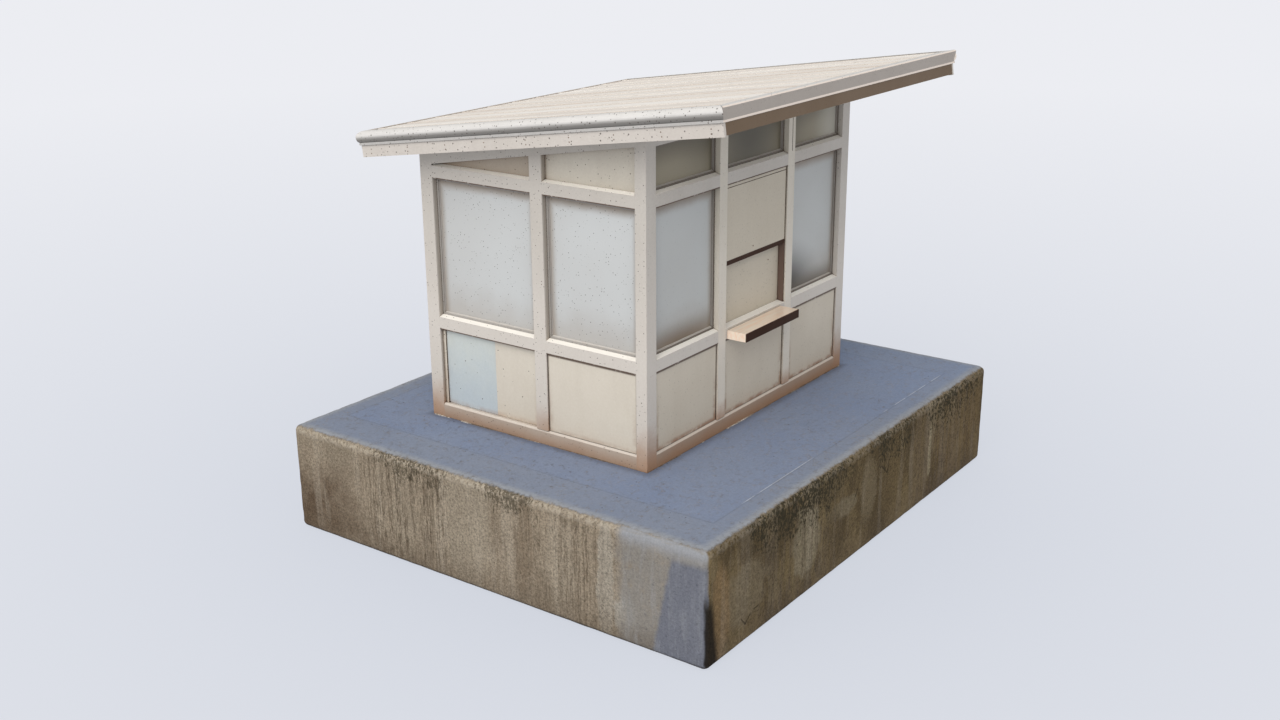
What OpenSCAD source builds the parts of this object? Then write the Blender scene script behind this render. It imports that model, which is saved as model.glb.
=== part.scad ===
// Ticket kiosk: a timber-framed, lean-to booth on a raised concrete plinth.
// The front, with the ticket hatch and its counter, faces -Y. The roof falls to the back.
// Origin: middle of the plinth's underside. +Z is up. All lengths are in millimetres.

/* [Plinth] */
// Height of the concrete plinth
plinth_h = 908; // [400:1:1400]
// Walkway left of the booth
plinth_left = 850; // [400:1:1600]
// Walkway right of the booth
plinth_right = 750; // [400:1:1600]
// Walkway in front of the counter
plinth_front = 1095; // [900:1:2000]
// Walkway behind the booth
plinth_back = 775; // [450:1:1600]
// Radius of the plinth's worn edges
plinth_edge_r = 55; // [10:1:90]

/* [Body] */
// Width of the booth over its outer faces
body_w = 3000; // [2750:1:3600]
// Depth of the booth over its outer faces
body_d = 2182; // [1900:1:2600]
// Depth of every frame timber, from the outer face inwards
frame_d = 98; // [88:1:110]
// Width of a corner post on the front and back faces
corner_w = 121; // [112:1:150]
// Width of a front corner post on the side faces
front_corner_d = 98; // [98:1:140]
// Width of a back corner post on the side faces
back_corner_d = 124; // [98:1:160]
// Width of the posts in the front and back walls
post_w = 106; // [70:1:140]
// Width and depth of the groove beside the right transom light
post_groove = 8; // [4:1:14]
// Width of the posts in the side walls
side_post_w = 116; // [70:1:150]
// Clear width of the window bay left of the hatch
left_bay_w = 838; // [700:1:950]
// Clear width of the hatch bay and of the doorway behind it
hatch_bay_w = 908; // [840:1:1000]
// Clear width of the front window bay in the side walls
side_bay_w = 851; // [700:1:1000]
// Thickness of the floor boards
floor_t = 40; // [18:1:80]

/* [Rails] */
// Height of the sole plates at the outer face
sole_h = 106; // [60:1:160]
// Underside of the middle rails above the plinth
mid_rail_z = 760; // [620:1:880]
// Height of a middle rail at the outer face
mid_rail_h = 102; // [84:1:140]
// Underside of the upper rails above the plinth
upper_rail_z = 1998; // [1900:1:2030]
// Height of an upper rail at the outer face
upper_rail_h = 98; // [60:1:110]
// Underside of the front top plate above the plinth
head_z = 2441; // [2330:1:2470]
// Width of the weathered ledge on top of each rail
ledge_run = 44; // [20:1:45]
// Rise of the weathered ledge on top of each rail
ledge_rise = 14; // [4:1:24]

/* [Windows and panels] */
// Depth from the outer face to the glazing frames
reveal_d = 46; // [45:1:52]
// Width of a glazing frame seen from outside
glazing_w = 18; // [12:1:30]
// Depth of the glazing frame's lip in front of the glass
lip_d = 16; // [8:1:18]
// Width of the glazing frame beside the glass
glazing_side_w = 8; // [4:1:10]
// Length of the glazing frame behind the glass
glazing_back_d = 12; // [4:1:12]
// Thickness of the glass
glass_t = 8; // [4:1:10]
// Room round the edge of each glass
glass_gap = 2; // [1:0.5:3]
// Depth from the outer face to the field of a lower panel
panel_recess = 14; // [6:1:24]
// Thickness of a lower panel
panel_t = 20; // [14:1:30]
// Width and depth of the shadow groove round a panel
panel_groove = 6; // [3:1:10]
// Depth from the outer face to the boards beside the blue panel
deep_recess = 40; // [26:1:60]
// Thickness of those boards and of the transom panels
thin_panel_t = 12; // [8:1:20]
// Width of the blue panel
blue_panel_w = 552; // [300:1:700]
// Width of the bead at the blue panel's back edge
blue_bead_w = 30; // [15:1:50]

/* [Hatch and counter] */
// Underside of the fixed panel above the hatch
hatch_top_z = 1395; // [1250:1:1500]
// Depth from the outer face to the fixed hatch panel
hatch_panel_recess = 12; // [6:1:24]
// Height of the bead along the top of the fixed hatch panel
hatch_bead_h = 26; // [15:1:40]
// Height of the dark bar along the top of the hatch
hatch_bar_h = 38; // [20:1:60]
// Thickness of the hatch's side linings
hatch_lining_t = 9; // [5:1:15]
// Depth from the outer face to the shutter
shutter_recess = 66; // [50:1:72]
// Thickness of the shutter
shutter_t = 20; // [12:1:24]
// Height of the sill at the hatch, at the front
sill_h = 18; // [10:1:40]
// Rise of the sill towards the shutter
sill_rise = 10; // [2:1:20]
// Length of the counter shelf
counter_w = 819; // [600:1:830]
// Gap between the left post of the hatch bay and the shelf
counter_offset = 25; // [5:1:60]
// How far the counter stands out from the wall
counter_out = 176; // [120:1:300]
// Top of the counter above the plinth
counter_z = 834; // [790:1:856]
// Thickness of the counter
counter_t = 69; // [30:1:72]
// Thickness of the dark strip along the counter's front
counter_edge_t = 7; // [4:1:15]

/* [Door] */
// Width of the door's upright stiles
stile_w = 96; // [70:1:130]
// Thickness of the door
door_t = 40; // [32:1:44]
// Room round the edge of the door
door_gap = 3; // [2:0.5:5]
// Height of the door's bottom rail
door_foot_h = 150; // [90:1:220]
// Depth of the door's lower panel behind its stiles
door_panel_recess = 10; // [4:1:16]
// Width of the stop that the door closes against
door_stop_w = 14; // [8:1:20]
// Depth of the door stop
door_stop_d = 28; // [20:1:35]
// Room between the closed door and its stop
door_stop_gap = 0.3; // [0.2:0.1:0.8]
// Height of the door handle above the plinth
handle_z = 1010; // [900:1:1150]
// Length of the door handle's lever
lever_l = 118; // [80:1:140]

/* [Roof] */
// Fall of the roof towards the back, in degrees
roof_pitch = 8.3; // [7.8:0.1:8.8]
// Roof surface above the plinth, over the front wall's outer face
roof_top_z = 2727; // [2714:1:2774]
// Overhang of the boards past the front wall
front_overhang = 783; // [500:1:860]
// Overhang of the boards past the back wall
back_overhang = 378; // [200:1:500]
// Overhang of the boards past the side walls
side_overhang = 262; // [150:1:500]
// Thickness of the verge and eaves boards
board_t = 25; // [18:1:35]
// How far the verge boards hang below the soffit
board_drop = 12; // [4:1:25]
// How far the eaves boards hang below the soffit
eaves_drop = 4; // [2:1:25]
// Thickness of the soffit lining
soffit_t = 12; // [8:1:20]
// Height of the rafters
rafter_h = 139; // [121:1:151]
// Width of the rafters
rafter_w = 48; // [35:1:70]
// Number of rafters
rafter_count = 7; // [4:1:12]
// Thickness of the roof deck
deck_t = 22; // [16:1:30]
// Thickness of the roof sheets
sheet_t = 11; // [6:1:14]
// Spacing of the seams between the roof sheets
seam_pitch = 322; // [200:1:600]
// Width of a seam
seam_w = 16; // [8:1:30]
// Height of a seam
seam_h = 5; // [3:1:7]
// Open joint between the roof sheets and the crown moulding
sheet_gap = 5; // [2:1:12]

/* [Crown moulding] */
// Height of the crown moulding
crown_h = 110; // [92:1:128]
// How far the crown's nose stands out from the boards
crown_out = 25; // [18:1:45]
// How far the crown's flat top reaches in over the roof
crown_in = 52; // [40:1:80]
// Thickness of the crown's flat top
crown_rim_t = 18; // [16:1:24]
// Width of the rounded top of the crown
crown_round_w = 52; // [40:1:60]
// Drop from the top of the crown to its nose
crown_nose_drop = 46; // [32:1:56]
// Height of the square fillet at the foot of the crown
fillet_h = 20; // [10:1:26]
// How far the fillet stands out from the boards
fillet_out = 11; // [6:1:18]
// How far the curve above the fillet comes in
crown_neck_out = 4; // [2:1:8]
// Radius of the canted front crown's nose
canted_nose_r = 13; // [6:1:17]
// Height of the flat lip at the foot of the canted front crown
canted_lip_h = 15; // [8:1:26]

/* [Hidden] */

// Colours of the finishes
cream_paint = [0.83, 0.79, 0.74];
panel_paint = [0.80, 0.76, 0.69];
blue_paint = [0.71, 0.77, 0.81];
brown_paint = [0.24, 0.16, 0.12];
shelf_wood = [0.90, 0.74, 0.60];
frosted_glass = [0.72, 0.76, 0.77];
smoked_glass = [0.37, 0.36, 0.32];
bare_concrete = [0.55, 0.52, 0.46];
floor_wood = [0.62, 0.52, 0.40];
roof_sheet = [0.89, 0.86, 0.83];
board_brown = [0.43, 0.37, 0.30];
handle_steel = [0.62, 0.62, 0.62];

// Smoothness of arcs
edge_fn = 48;
arc_steps = 8;
nose_turn = -8;
cut_over = 1;

// Overall plan
plinth_w = plinth_left + body_w + plinth_right;
plinth_d = plinth_front + body_d + plinth_back;

// Posts along the front and back walls
post_a_x0 = corner_w + left_bay_w;
post_a_x1 = post_a_x0 + post_w;
post_b_x0 = post_a_x1 + hatch_bay_w;
post_b_x1 = post_b_x0 + post_w;
left_bay = [corner_w, post_a_x0];
hatch_bay = [post_a_x1, post_b_x0];
right_bay = [post_b_x1, body_w - corner_w];

// Posts along the side walls
side_post_y0 = front_corner_d + side_bay_w;
side_post_y1 = side_post_y0 + side_post_w;
front_side_bay = [front_corner_d, side_post_y0];
back_side_bay = [side_post_y1, body_d - back_corner_d];

// Levels above the plinth
sole_top = sole_h + ledge_rise;
mid_face_top = mid_rail_z + mid_rail_h;
mid_top = mid_face_top + ledge_rise;
upper_face_top = upper_rail_z + upper_rail_h;
upper_top = upper_face_top + ledge_rise;
sole_ledge_run = panel_recess;

// Glass and panels, as depths from the outer face
glass_v = reveal_d + lip_d;
glazing_end_v = glass_v + glass_t + glazing_back_d;
panel_base_v = panel_recess + panel_groove;
deep_v = [deep_recess, deep_recess + thin_panel_t];
window_z = [mid_top, upper_rail_z];
transom_z = [upper_top, head_z];
blue_u = [back_side_bay[1] - blue_panel_w, back_side_bay[1]];
post_groove_x = (post_b_x0 + post_b_x1 + post_groove) / 2;

// Hatch
hatch_foot_z = counter_z;
hatch_bar_z = hatch_top_z - hatch_bar_h;
counter_x0 = hatch_bay[0] + counter_offset;

// Door
door_u = [hatch_bay[0] + door_gap, hatch_bay[1] - door_gap];
door_z = [sole_top + door_gap, upper_rail_z - door_gap];
door_glass_u = [door_u[0] + stile_w, door_u[1] - stile_w];
door_glass_z = [mid_top, door_z[1] - stile_w];
door_glass_v = panel_recess + lip_d;
door_stop_v = panel_recess + door_t + door_stop_gap;
handle_plate = [38, 190, 4];
handle_u = door_u[0] + stile_w / 2;
lever_r = 9;
lever_out = 42;

// Roof, in its own sloping frame: x across, y down the slope, z square to the surface
soffit_depth = crown_rim_t + deck_t + rafter_h + soffit_t;
board_bottom = soffit_depth + board_drop;
eaves_bottom = soffit_depth + eaves_drop;
roof_w = body_w + 2 * side_overhang;
roof_l = (body_d + front_overhang + back_overhang) / cos(roof_pitch);
inner_x = [board_t, roof_w - board_t];
inner_y = [board_t, roof_l - board_t];
sheet_margin = crown_in + sheet_gap;
seam_count = floor((roof_w - 2 * sheet_margin - seam_w) / seam_pitch);
seam_start = (roof_w - seam_count * seam_pitch) / 2;
crown_mitre = crown_out + cut_over;

// Height of the soffit's underside above the plinth, at depth y behind the front wall's outer face
function soffit_z(y) = roof_top_z - soffit_depth / cos(roof_pitch) - y * tan(roof_pitch);

// Underside of the side top plates: it falls from the front plate's level to the upper rails' tops
plate_fall = (head_z - upper_top) / (back_side_bay[1] - front_side_bay[0]);
function plate_z(y) = head_z - (y - front_side_bay[0]) * plate_fall;

// Points of a quarter of an ellipse
function quarter(centre, across, down, from, to) =
    [for (i = [0:arc_steps]) let (a = from + (to - from) * i / arc_steps)
        [centre[0] + across * cos(a), centre[1] + down * sin(a)]];

// Sections of the crown moulding: x outwards from the boards' faces, y up from the roof's surface
crown_section = concat(
    [[-crown_in, -crown_rim_t], [-crown_in, 0]],
    quarter([crown_out - crown_round_w, -crown_nose_drop], crown_round_w, crown_nose_drop, 90, 0),
    quarter([crown_neck_out, -crown_nose_drop], crown_out - crown_neck_out,
        crown_h - fillet_h - crown_nose_drop, nose_turn, -90),
    [[fillet_out, fillet_h - crown_h], [fillet_out, -crown_h], [0, -crown_h], [0, -crown_rim_t]]);
canted_section = concat(
    [[-crown_in, -crown_rim_t], [-crown_in, 0]],
    quarter([crown_out - canted_nose_r, -canted_nose_r], canted_nose_r, canted_nose_r, 90, 0),
    [[crown_neck_out, canted_lip_h - crown_h], [crown_neck_out, -crown_h], [0, -crown_h],
        [0, -crown_rim_t]]);

// Places children on the booth, whose front left corner stands on the plinth
module at_booth() {
    translate([plinth_left - plinth_w / 2, plinth_front - plinth_d / 2, plinth_h]) children();
}

// Places children on a wall: x along it, y inwards from its outer face, z up
module on_wall(side) {
    at_booth() {
        if (side == "front") children();
        if (side == "back") translate([0, body_d, 0]) mirror([0, 1, 0]) children();
        if (side == "left") mirror([1, -1, 0]) children();
        if (side == "right") translate([body_w, 0, 0]) mirror([1, 0, 0]) mirror([1, -1, 0]) children();
    }
}

// Places children in the roof's frame, whose corner is at the front left of the boards
module on_roof() {
    at_booth()
        translate([-side_overhang, -front_overhang, roof_top_z + front_overhang * tan(roof_pitch)])
            rotate([-roof_pitch, 0, 0]) children();
}

// A square-cut block between two limits along each direction
module block(u, v, z) {
    translate([u[0], v[0], z[0]]) cube([u[1] - u[0], v[1] - v[0], z[1] - z[0]]);
}

// A rail whose top has a sloping ledge at the outer face
module ledge_rail(bay, z, run, rise) {
    translate([bay[0], 0, 0]) rotate([90, 0, 90]) linear_extrude(bay[1] - bay[0])
        polygon([[0, z[0]], [0, z[1]], [run, z[1] + rise], [frame_d, z[1] + rise], [frame_d, z[0]]]);
}

// A piece cut from an outline in the plane of the wall, between two depths
module wall_slab(outline, v) {
    translate([0, v[1], 0]) rotate([90, 0, 0]) linear_extrude(v[1] - v[0]) polygon(outline);
}

module mid_rail(bay) {
    ledge_rail(bay, [mid_rail_z, mid_face_top], ledge_run, ledge_rise);
}

module upper_rail(bay) {
    ledge_rail(bay, [upper_rail_z, upper_face_top], ledge_run, ledge_rise);
}

// A lower panel with a shadow groove all round its field
module grooved_panel(bay, z) {
    g = panel_groove;
    block(bay, [panel_base_v, panel_recess + panel_t], z);
    block([bay[0] + g, bay[1] - g], [panel_recess, panel_base_v], [z[0] + g, z[1] - g]);
}

module lower_panel(bay) {
    grooved_panel(bay, [sole_top, mid_rail_z]);
}

// A frame that holds a glass, with a lip in front of it
module glazing_frame(bay, z) {
    lip = glazing_w;
    side = glazing_side_w;
    difference() {
        block(bay, [reveal_d, glazing_end_v], z);
        block([bay[0] + lip, bay[1] - lip], [reveal_d - cut_over, glazing_end_v + cut_over],
            [z[0] + lip, z[1] - lip]);
        block([bay[0] + side, bay[1] - side], [glass_v, glazing_end_v + cut_over],
            [z[0] + side, z[1] - side]);
    }
}

module glass_pane(bay, z) {
    inset = glazing_side_w + glass_gap;
    block([bay[0] + inset, bay[1] - inset], [glass_v, glass_v + glass_t], [z[0] + inset, z[1] - inset]);
}

// One mass of concrete with worn, rounded edges
module plinth() {
    r = plinth_edge_r;
    x = plinth_w / 2 - r;
    y = plinth_d / 2 - r;
    levels = [r, plinth_h - r];
    color(bare_concrete) union() {
        block([-x, x], [-y, y], [0, plinth_h]);
        block([-x - r, x + r], [-y, y], levels);
        block([-x, x], [-y - r, y + r], levels);
        for (sx = [-1, 1], sy = [-1, 1]) translate([sx * x, sy * y, r]) {
            cylinder(r = r, h = plinth_h - 2 * r, $fn = edge_fn);
            sphere(r = r, $fn = edge_fn);
            translate([0, 0, plinth_h - 2 * r]) sphere(r = r, $fn = edge_fn);
        }
        for (sy = [-1, 1], z = levels) translate([-x, sy * y, z]) rotate([0, 90, 0])
            cylinder(r = r, h = 2 * x, $fn = edge_fn);
        for (sx = [-1, 1], z = levels) translate([sx * x, y, z]) rotate([90, 0, 0])
            cylinder(r = r, h = 2 * y, $fn = edge_fn);
    }
}

module floor_boards() {
    color(floor_wood) at_booth()
        block([frame_d, body_w - frame_d], [frame_d, body_d - frame_d], [0, floor_t]);
}

module sole_plates() {
    color(cream_paint) {
        for (side = ["front", "back"]) on_wall(side)
            ledge_rail([corner_w, body_w - corner_w], [0, sole_h], sole_ledge_run, ledge_rise);
        for (side = ["left", "right"]) on_wall(side)
            ledge_rail([front_corner_d, body_d - back_corner_d], [0, sole_h], sole_ledge_run, ledge_rise);
    }
}

// A corner post, cut to the soffit's slope at its top
module corner_post(y) {
    wall_slab([[y[0], 0], [y[1], 0], [y[1], soffit_z(y[1])], [y[0], soffit_z(y[0])]], [0, corner_w]);
}

module corner_posts() {
    color(cream_paint) for (side = ["left", "right"]) on_wall(side) {
        corner_post([0, front_corner_d]);
        corner_post([body_d - back_corner_d, body_d]);
    }
}

// The right post has a groove beside the transom light
module front_posts() {
    color(cream_paint) on_wall("front") difference() {
        for (x = [post_a_x0, post_b_x0]) block([x, x + post_w], [0, frame_d], [sole_top, head_z]);
        block([post_groove_x, post_groove_x + post_groove], [-cut_over, post_groove],
            [upper_top, head_z + cut_over]);
    }
}

module back_posts() {
    color(cream_paint) on_wall("back") for (x = [post_a_x0, post_b_x0])
        block([x, x + post_w], [0, frame_d], [sole_top, upper_top]);
}

module side_posts() {
    color(cream_paint) for (side = ["left", "right"]) on_wall(side)
        wall_slab([[side_post_y0, sole_top], [side_post_y1, sole_top],
            [side_post_y1, plate_z(side_post_y1)], [side_post_y0, plate_z(side_post_y0)]], [0, frame_d]);
}

// The middle rail of the hatch bay carries the counter, and its top is the hatch's sloping sill
module front_mid_rails() {
    sill_z = hatch_foot_z + sill_h;
    back_z = sill_z + sill_rise;
    color(cream_paint) on_wall("front") {
        mid_rail(left_bay);
        translate([hatch_bay[0], 0, 0]) rotate([90, 0, 90]) linear_extrude(hatch_bay_w)
            polygon([[0, mid_rail_z], [0, sill_z], [shutter_recess, back_z], [frame_d, back_z],
                [frame_d, mid_rail_z]]);
        mid_rail(right_bay);
    }
}

module back_mid_rails() {
    color(cream_paint) on_wall("back") {
        mid_rail(left_bay);
        mid_rail(right_bay);
    }
}

module side_mid_rails(side) {
    color(cream_paint) on_wall(side) {
        mid_rail(front_side_bay);
        mid_rail(back_side_bay);
    }
}

module left_mid_rails() {
    side_mid_rails("left");
}

module right_mid_rails() {
    side_mid_rails("right");
}

module cross_upper_rails(side) {
    color(cream_paint) on_wall(side) for (bay = [left_bay, hatch_bay, right_bay]) upper_rail(bay);
}

module front_upper_rails() {
    cross_upper_rails("front");
}

module back_upper_rails() {
    cross_upper_rails("back");
}

module side_upper_rails(side) {
    color(cream_paint) on_wall(side) for (bay = [front_side_bay, back_side_bay]) upper_rail(bay);
}

module left_upper_rails() {
    side_upper_rails("left");
}

module right_upper_rails() {
    side_upper_rails("right");
}

// A top plate across the booth, planed to the roof's slope
module cross_top_plate(y, z) {
    at_booth() translate([corner_w, 0, 0]) rotate([90, 0, 90]) linear_extrude(body_w - 2 * corner_w)
        polygon([[y[0], z], [y[1], z], [y[1], soffit_z(y[1])], [y[0], soffit_z(y[0])]]);
}

module cross_top_plates() {
    color(cream_paint) {
        cross_top_plate([0, frame_d], head_z);
        cross_top_plate([body_d - frame_d, body_d], upper_top);
    }
}

// The side plates taper, because their undersides fall faster than the roof
module side_top_plates() {
    y0 = front_side_bay[0];
    y1 = back_side_bay[1];
    color(cream_paint) for (side = ["left", "right"]) on_wall(side)
        wall_slab([[y0, plate_z(y0)], [y1, plate_z(y1)], [y1, soffit_z(y1)], [y0, soffit_z(y0)]],
            [0, frame_d]);
}

module front_lower_panels() {
    color(panel_paint) on_wall("front") {
        lower_panel(left_bay);
        lower_panel(hatch_bay);
        lower_panel(right_bay);
    }
}

module back_lower_panels() {
    color(panel_paint) on_wall("back") {
        lower_panel(left_bay);
        lower_panel(right_bay);
    }
}

// The back bay of the left wall has two flat boards, the rear one blue, and a bead beside it
module left_lower_panels() {
    color(panel_paint) on_wall("left") {
        lower_panel(front_side_bay);
        block([back_side_bay[0], blue_u[0]], deep_v, [sole_top, mid_rail_z]);
        block([blue_u[1] - blue_bead_w, blue_u[1]], [deep_recess - thin_panel_t, deep_recess],
            [sole_top, mid_rail_z]);
    }
}

module left_blue_panel() {
    color(blue_paint) on_wall("left") block(blue_u, deep_v, [sole_top, mid_rail_z]);
}

module right_lower_panels() {
    color(panel_paint) on_wall("right") {
        lower_panel(front_side_bay);
        lower_panel(back_side_bay);
    }
}

module front_windows() {
    color(frosted_glass) on_wall("front") for (bay = [left_bay, right_bay]) glass_pane(bay, window_z);
}

// The two back windows and the light in the door
module back_windows() {
    inset = glass_gap - glazing_side_w;
    color(frosted_glass) on_wall("back") {
        for (bay = [left_bay, right_bay]) glass_pane(bay, window_z);
        block([door_glass_u[0] + inset, door_glass_u[1] - inset], [door_glass_v, door_glass_v + glass_t],
            [door_glass_z[0] + inset, door_glass_z[1] - inset]);
    }
}

module side_windows(side) {
    color(frosted_glass) on_wall(side) for (bay = [front_side_bay, back_side_bay]) glass_pane(bay, window_z);
}

module left_windows() {
    side_windows("left");
}

module right_windows() {
    side_windows("right");
}

module front_transom_glass() {
    color(smoked_glass) on_wall("front")
        for (bay = [left_bay, hatch_bay, right_bay]) glass_pane(bay, transom_z);
}

module glazing_frames() {
    color(cream_paint) {
        for (side = ["front", "back"]) on_wall(side)
            for (bay = [left_bay, right_bay]) glazing_frame(bay, window_z);
        for (side = ["left", "right"]) on_wall(side)
            for (bay = [front_side_bay, back_side_bay]) glazing_frame(bay, window_z);
        on_wall("front") for (bay = [left_bay, hatch_bay, right_bay]) glazing_frame(bay, transom_z);
    }
}

// Tapering panels between the upper rails and the side top plates
module side_transom_panels() {
    v = [reveal_d, reveal_d + thin_panel_t];
    color(panel_paint) for (side = ["left", "right"]) on_wall(side) {
        wall_slab([[front_side_bay[0], upper_top], [front_side_bay[1], upper_top],
            [front_side_bay[1], plate_z(front_side_bay[1])],
            [front_side_bay[0], plate_z(front_side_bay[0])]], v);
        wall_slab([[back_side_bay[0], upper_top], [back_side_bay[1], upper_top],
            [back_side_bay[0], plate_z(back_side_bay[0])]], v);
    }
}

// The fixed panel above the hatch, with a bead along its top
module hatch_upper_panel() {
    v0 = hatch_panel_recess;
    g = panel_groove;
    top = upper_rail_z - hatch_bead_h;
    color(panel_paint) on_wall("front") {
        block(hatch_bay, [v0 + g, v0 + panel_t], [hatch_top_z, upper_rail_z]);
        block([hatch_bay[0] + g, hatch_bay[1] - g], [v0, v0 + g], [hatch_top_z, top - g]);
        block([hatch_bay[0] + g, hatch_bay[1] - g], [v0, v0 + g], [top, upper_rail_z - g]);
    }
}

module hatch_shutter() {
    color(panel_paint) on_wall("front")
        block([hatch_bay[0] + hatch_lining_t, hatch_bay[1] - hatch_lining_t],
            [shutter_recess, shutter_recess + shutter_t], [hatch_foot_z + sill_h + sill_rise, hatch_bar_z]);
}

// Dark head bar and side linings, which stand on the sloping sill
module hatch_frame() {
    v = [hatch_panel_recess, shutter_recess + shutter_t];
    foot = hatch_foot_z + sill_h + sill_rise * v[0] / shutter_recess;
    back = hatch_foot_z + sill_h + sill_rise;
    color(brown_paint) on_wall("front") union() {
        block(hatch_bay, v, [hatch_bar_z, hatch_top_z]);
        for (x = [hatch_bay[0], hatch_bay[1] - hatch_lining_t])
            translate([x, 0, 0]) rotate([90, 0, 90]) linear_extrude(hatch_lining_t)
                polygon([[v[0], foot], [v[0], hatch_top_z], [v[1], hatch_top_z], [v[1], back],
                    [shutter_recess, back]]);
    }
}

module counter_shelf() {
    color(shelf_wood) on_wall("front")
        block([counter_x0, counter_x0 + counter_w], [counter_edge_t - counter_out, 0],
            [counter_z - counter_t, counter_z]);
}

module counter_edge() {
    color(brown_paint) on_wall("front")
        block([counter_x0, counter_x0 + counter_w], [-counter_out, counter_edge_t - counter_out],
            [counter_z - counter_t, counter_z]);
}

// The staff door: stiles and rails, a light above and a sunk panel below
module door_leaf() {
    v = [panel_recess, panel_recess + door_t];
    side = glazing_side_w;
    color(cream_paint) on_wall("back") difference() {
        block(door_u, v, door_z);
        block(door_glass_u, [v[0] - cut_over, v[1] + cut_over], door_glass_z);
        block([door_glass_u[0] - side, door_glass_u[1] + side], [door_glass_v, v[1] + cut_over],
            [door_glass_z[0] - side, door_glass_z[1] + side]);
        block(door_glass_u, [v[0] - cut_over, v[0] + door_panel_recess],
            [door_z[0] + door_foot_h, mid_rail_z]);
    }
}

// The stop round the doorway, down both sides and across its head
module door_frame() {
    v = [door_stop_v, door_stop_v + door_stop_d];
    color(cream_paint) on_wall("back") difference() {
        block(hatch_bay, v, [sole_top, upper_rail_z]);
        block([hatch_bay[0] + door_stop_w, hatch_bay[1] - door_stop_w], [v[0] - cut_over, v[1] + cut_over],
            [sole_top - cut_over, upper_rail_z - door_stop_w]);
    }
}

module door_handle() {
    face = panel_recess;
    color(handle_steel) on_wall("back") union() {
        block([handle_u - handle_plate[0] / 2, handle_u + handle_plate[0] / 2],
            [face - handle_plate[2], face], [handle_z - handle_plate[1] / 2, handle_z + handle_plate[1] / 2]);
        translate([handle_u, face, handle_z]) rotate([90, 0, 0])
            cylinder(r = lever_r, h = lever_out, $fn = edge_fn);
        translate([handle_u, face - lever_out, handle_z]) rotate([0, 90, 0])
            cylinder(r = lever_r, h = lever_l, $fn = edge_fn);
    }
}

module roof_rafters() {
    z1 = -crown_rim_t - deck_t;
    step = (inner_x[1] - inner_x[0] - rafter_w) / (rafter_count - 1);
    color(floor_wood) on_roof() for (i = [0:rafter_count - 1]) let (x = inner_x[0] + i * step)
        block([x, x + rafter_w], inner_y, [z1 - rafter_h, z1]);
}

module roof_soffit() {
    color(cream_paint) on_roof() block(inner_x, inner_y, [-soffit_depth, soffit_t - soffit_depth]);
}

module roof_deck() {
    color(floor_wood) on_roof() block(inner_x, inner_y, [-crown_rim_t - deck_t, -crown_rim_t]);
}

// Roof sheets with low seams that run down the slope
module roof_covering() {
    m = sheet_margin;
    z0 = -crown_rim_t;
    color(roof_sheet) on_roof() union() {
        block([m, roof_w - m], [m, roof_l - m], [z0, z0 + sheet_t]);
        for (i = [0:seam_count]) let (x = seam_start + i * seam_pitch)
            block([x - seam_w / 2, x + seam_w / 2], [m, roof_l - m], [z0, z0 + sheet_t + seam_h]);
    }
}

module verge_boards() {
    color(cream_paint) on_roof() for (x = [0, roof_w - board_t])
        block([x, x + board_t], [0, roof_l], [-board_bottom, -crown_rim_t]);
}

module eaves_boards() {
    color(board_brown) on_roof() for (y = [0, roof_l - board_t])
        block(inner_x, [y, y + board_t], [-eaves_bottom, -crown_rim_t]);
}

// One length of crown moulding along y, mitred where it meets its neighbours at both ends
module crown_run(run, section) {
    m = crown_mitre;
    h = crown_in + cut_over;
    intersection() {
        translate([0, run + m, 0]) rotate([90, 0, 0]) linear_extrude(run + 2 * m)
            mirror([1, 0]) polygon(section);
        translate([0, 0, -crown_h - cut_over]) linear_extrude(crown_h + 2 * cut_over)
            polygon([[-m, -m], [h, h], [h, run - h], [-m, run + m]]);
    }
}

module verge_crowns() {
    color(cream_paint) on_roof() {
        crown_run(roof_l, crown_section);
        translate([roof_w, 0, 0]) mirror([1, 0, 0]) crown_run(roof_l, crown_section);
    }
}

// The front crown is plain and canted, and the back one matches the verges
module eaves_crowns() {
    color(cream_paint) on_roof() {
        mirror([1, -1, 0]) crown_run(roof_w, canted_section);
        translate([0, roof_l, 0]) mirror([0, 1, 0]) mirror([1, -1, 0]) crown_run(roof_w, crown_section);
    }
}

plinth();
floor_boards();
sole_plates();
corner_posts();
front_posts();
back_posts();
side_posts();
front_mid_rails();
back_mid_rails();
left_mid_rails();
right_mid_rails();
front_upper_rails();
back_upper_rails();
left_upper_rails();
right_upper_rails();
cross_top_plates();
side_top_plates();
front_lower_panels();
back_lower_panels();
left_lower_panels();
left_blue_panel();
right_lower_panels();
front_windows();
back_windows();
left_windows();
right_windows();
front_transom_glass();
glazing_frames();
side_transom_panels();
hatch_upper_panel();
hatch_shutter();
hatch_frame();
counter_shelf();
counter_edge();
door_leaf();
door_frame();
door_handle();
roof_rafters();
roof_soffit();
roof_deck();
roof_covering();
verge_boards();
eaves_boards();
verge_crowns();
eaves_crowns();
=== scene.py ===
import math

import bmesh
import bpy
from mathutils import Matrix, Vector, noise


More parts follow.
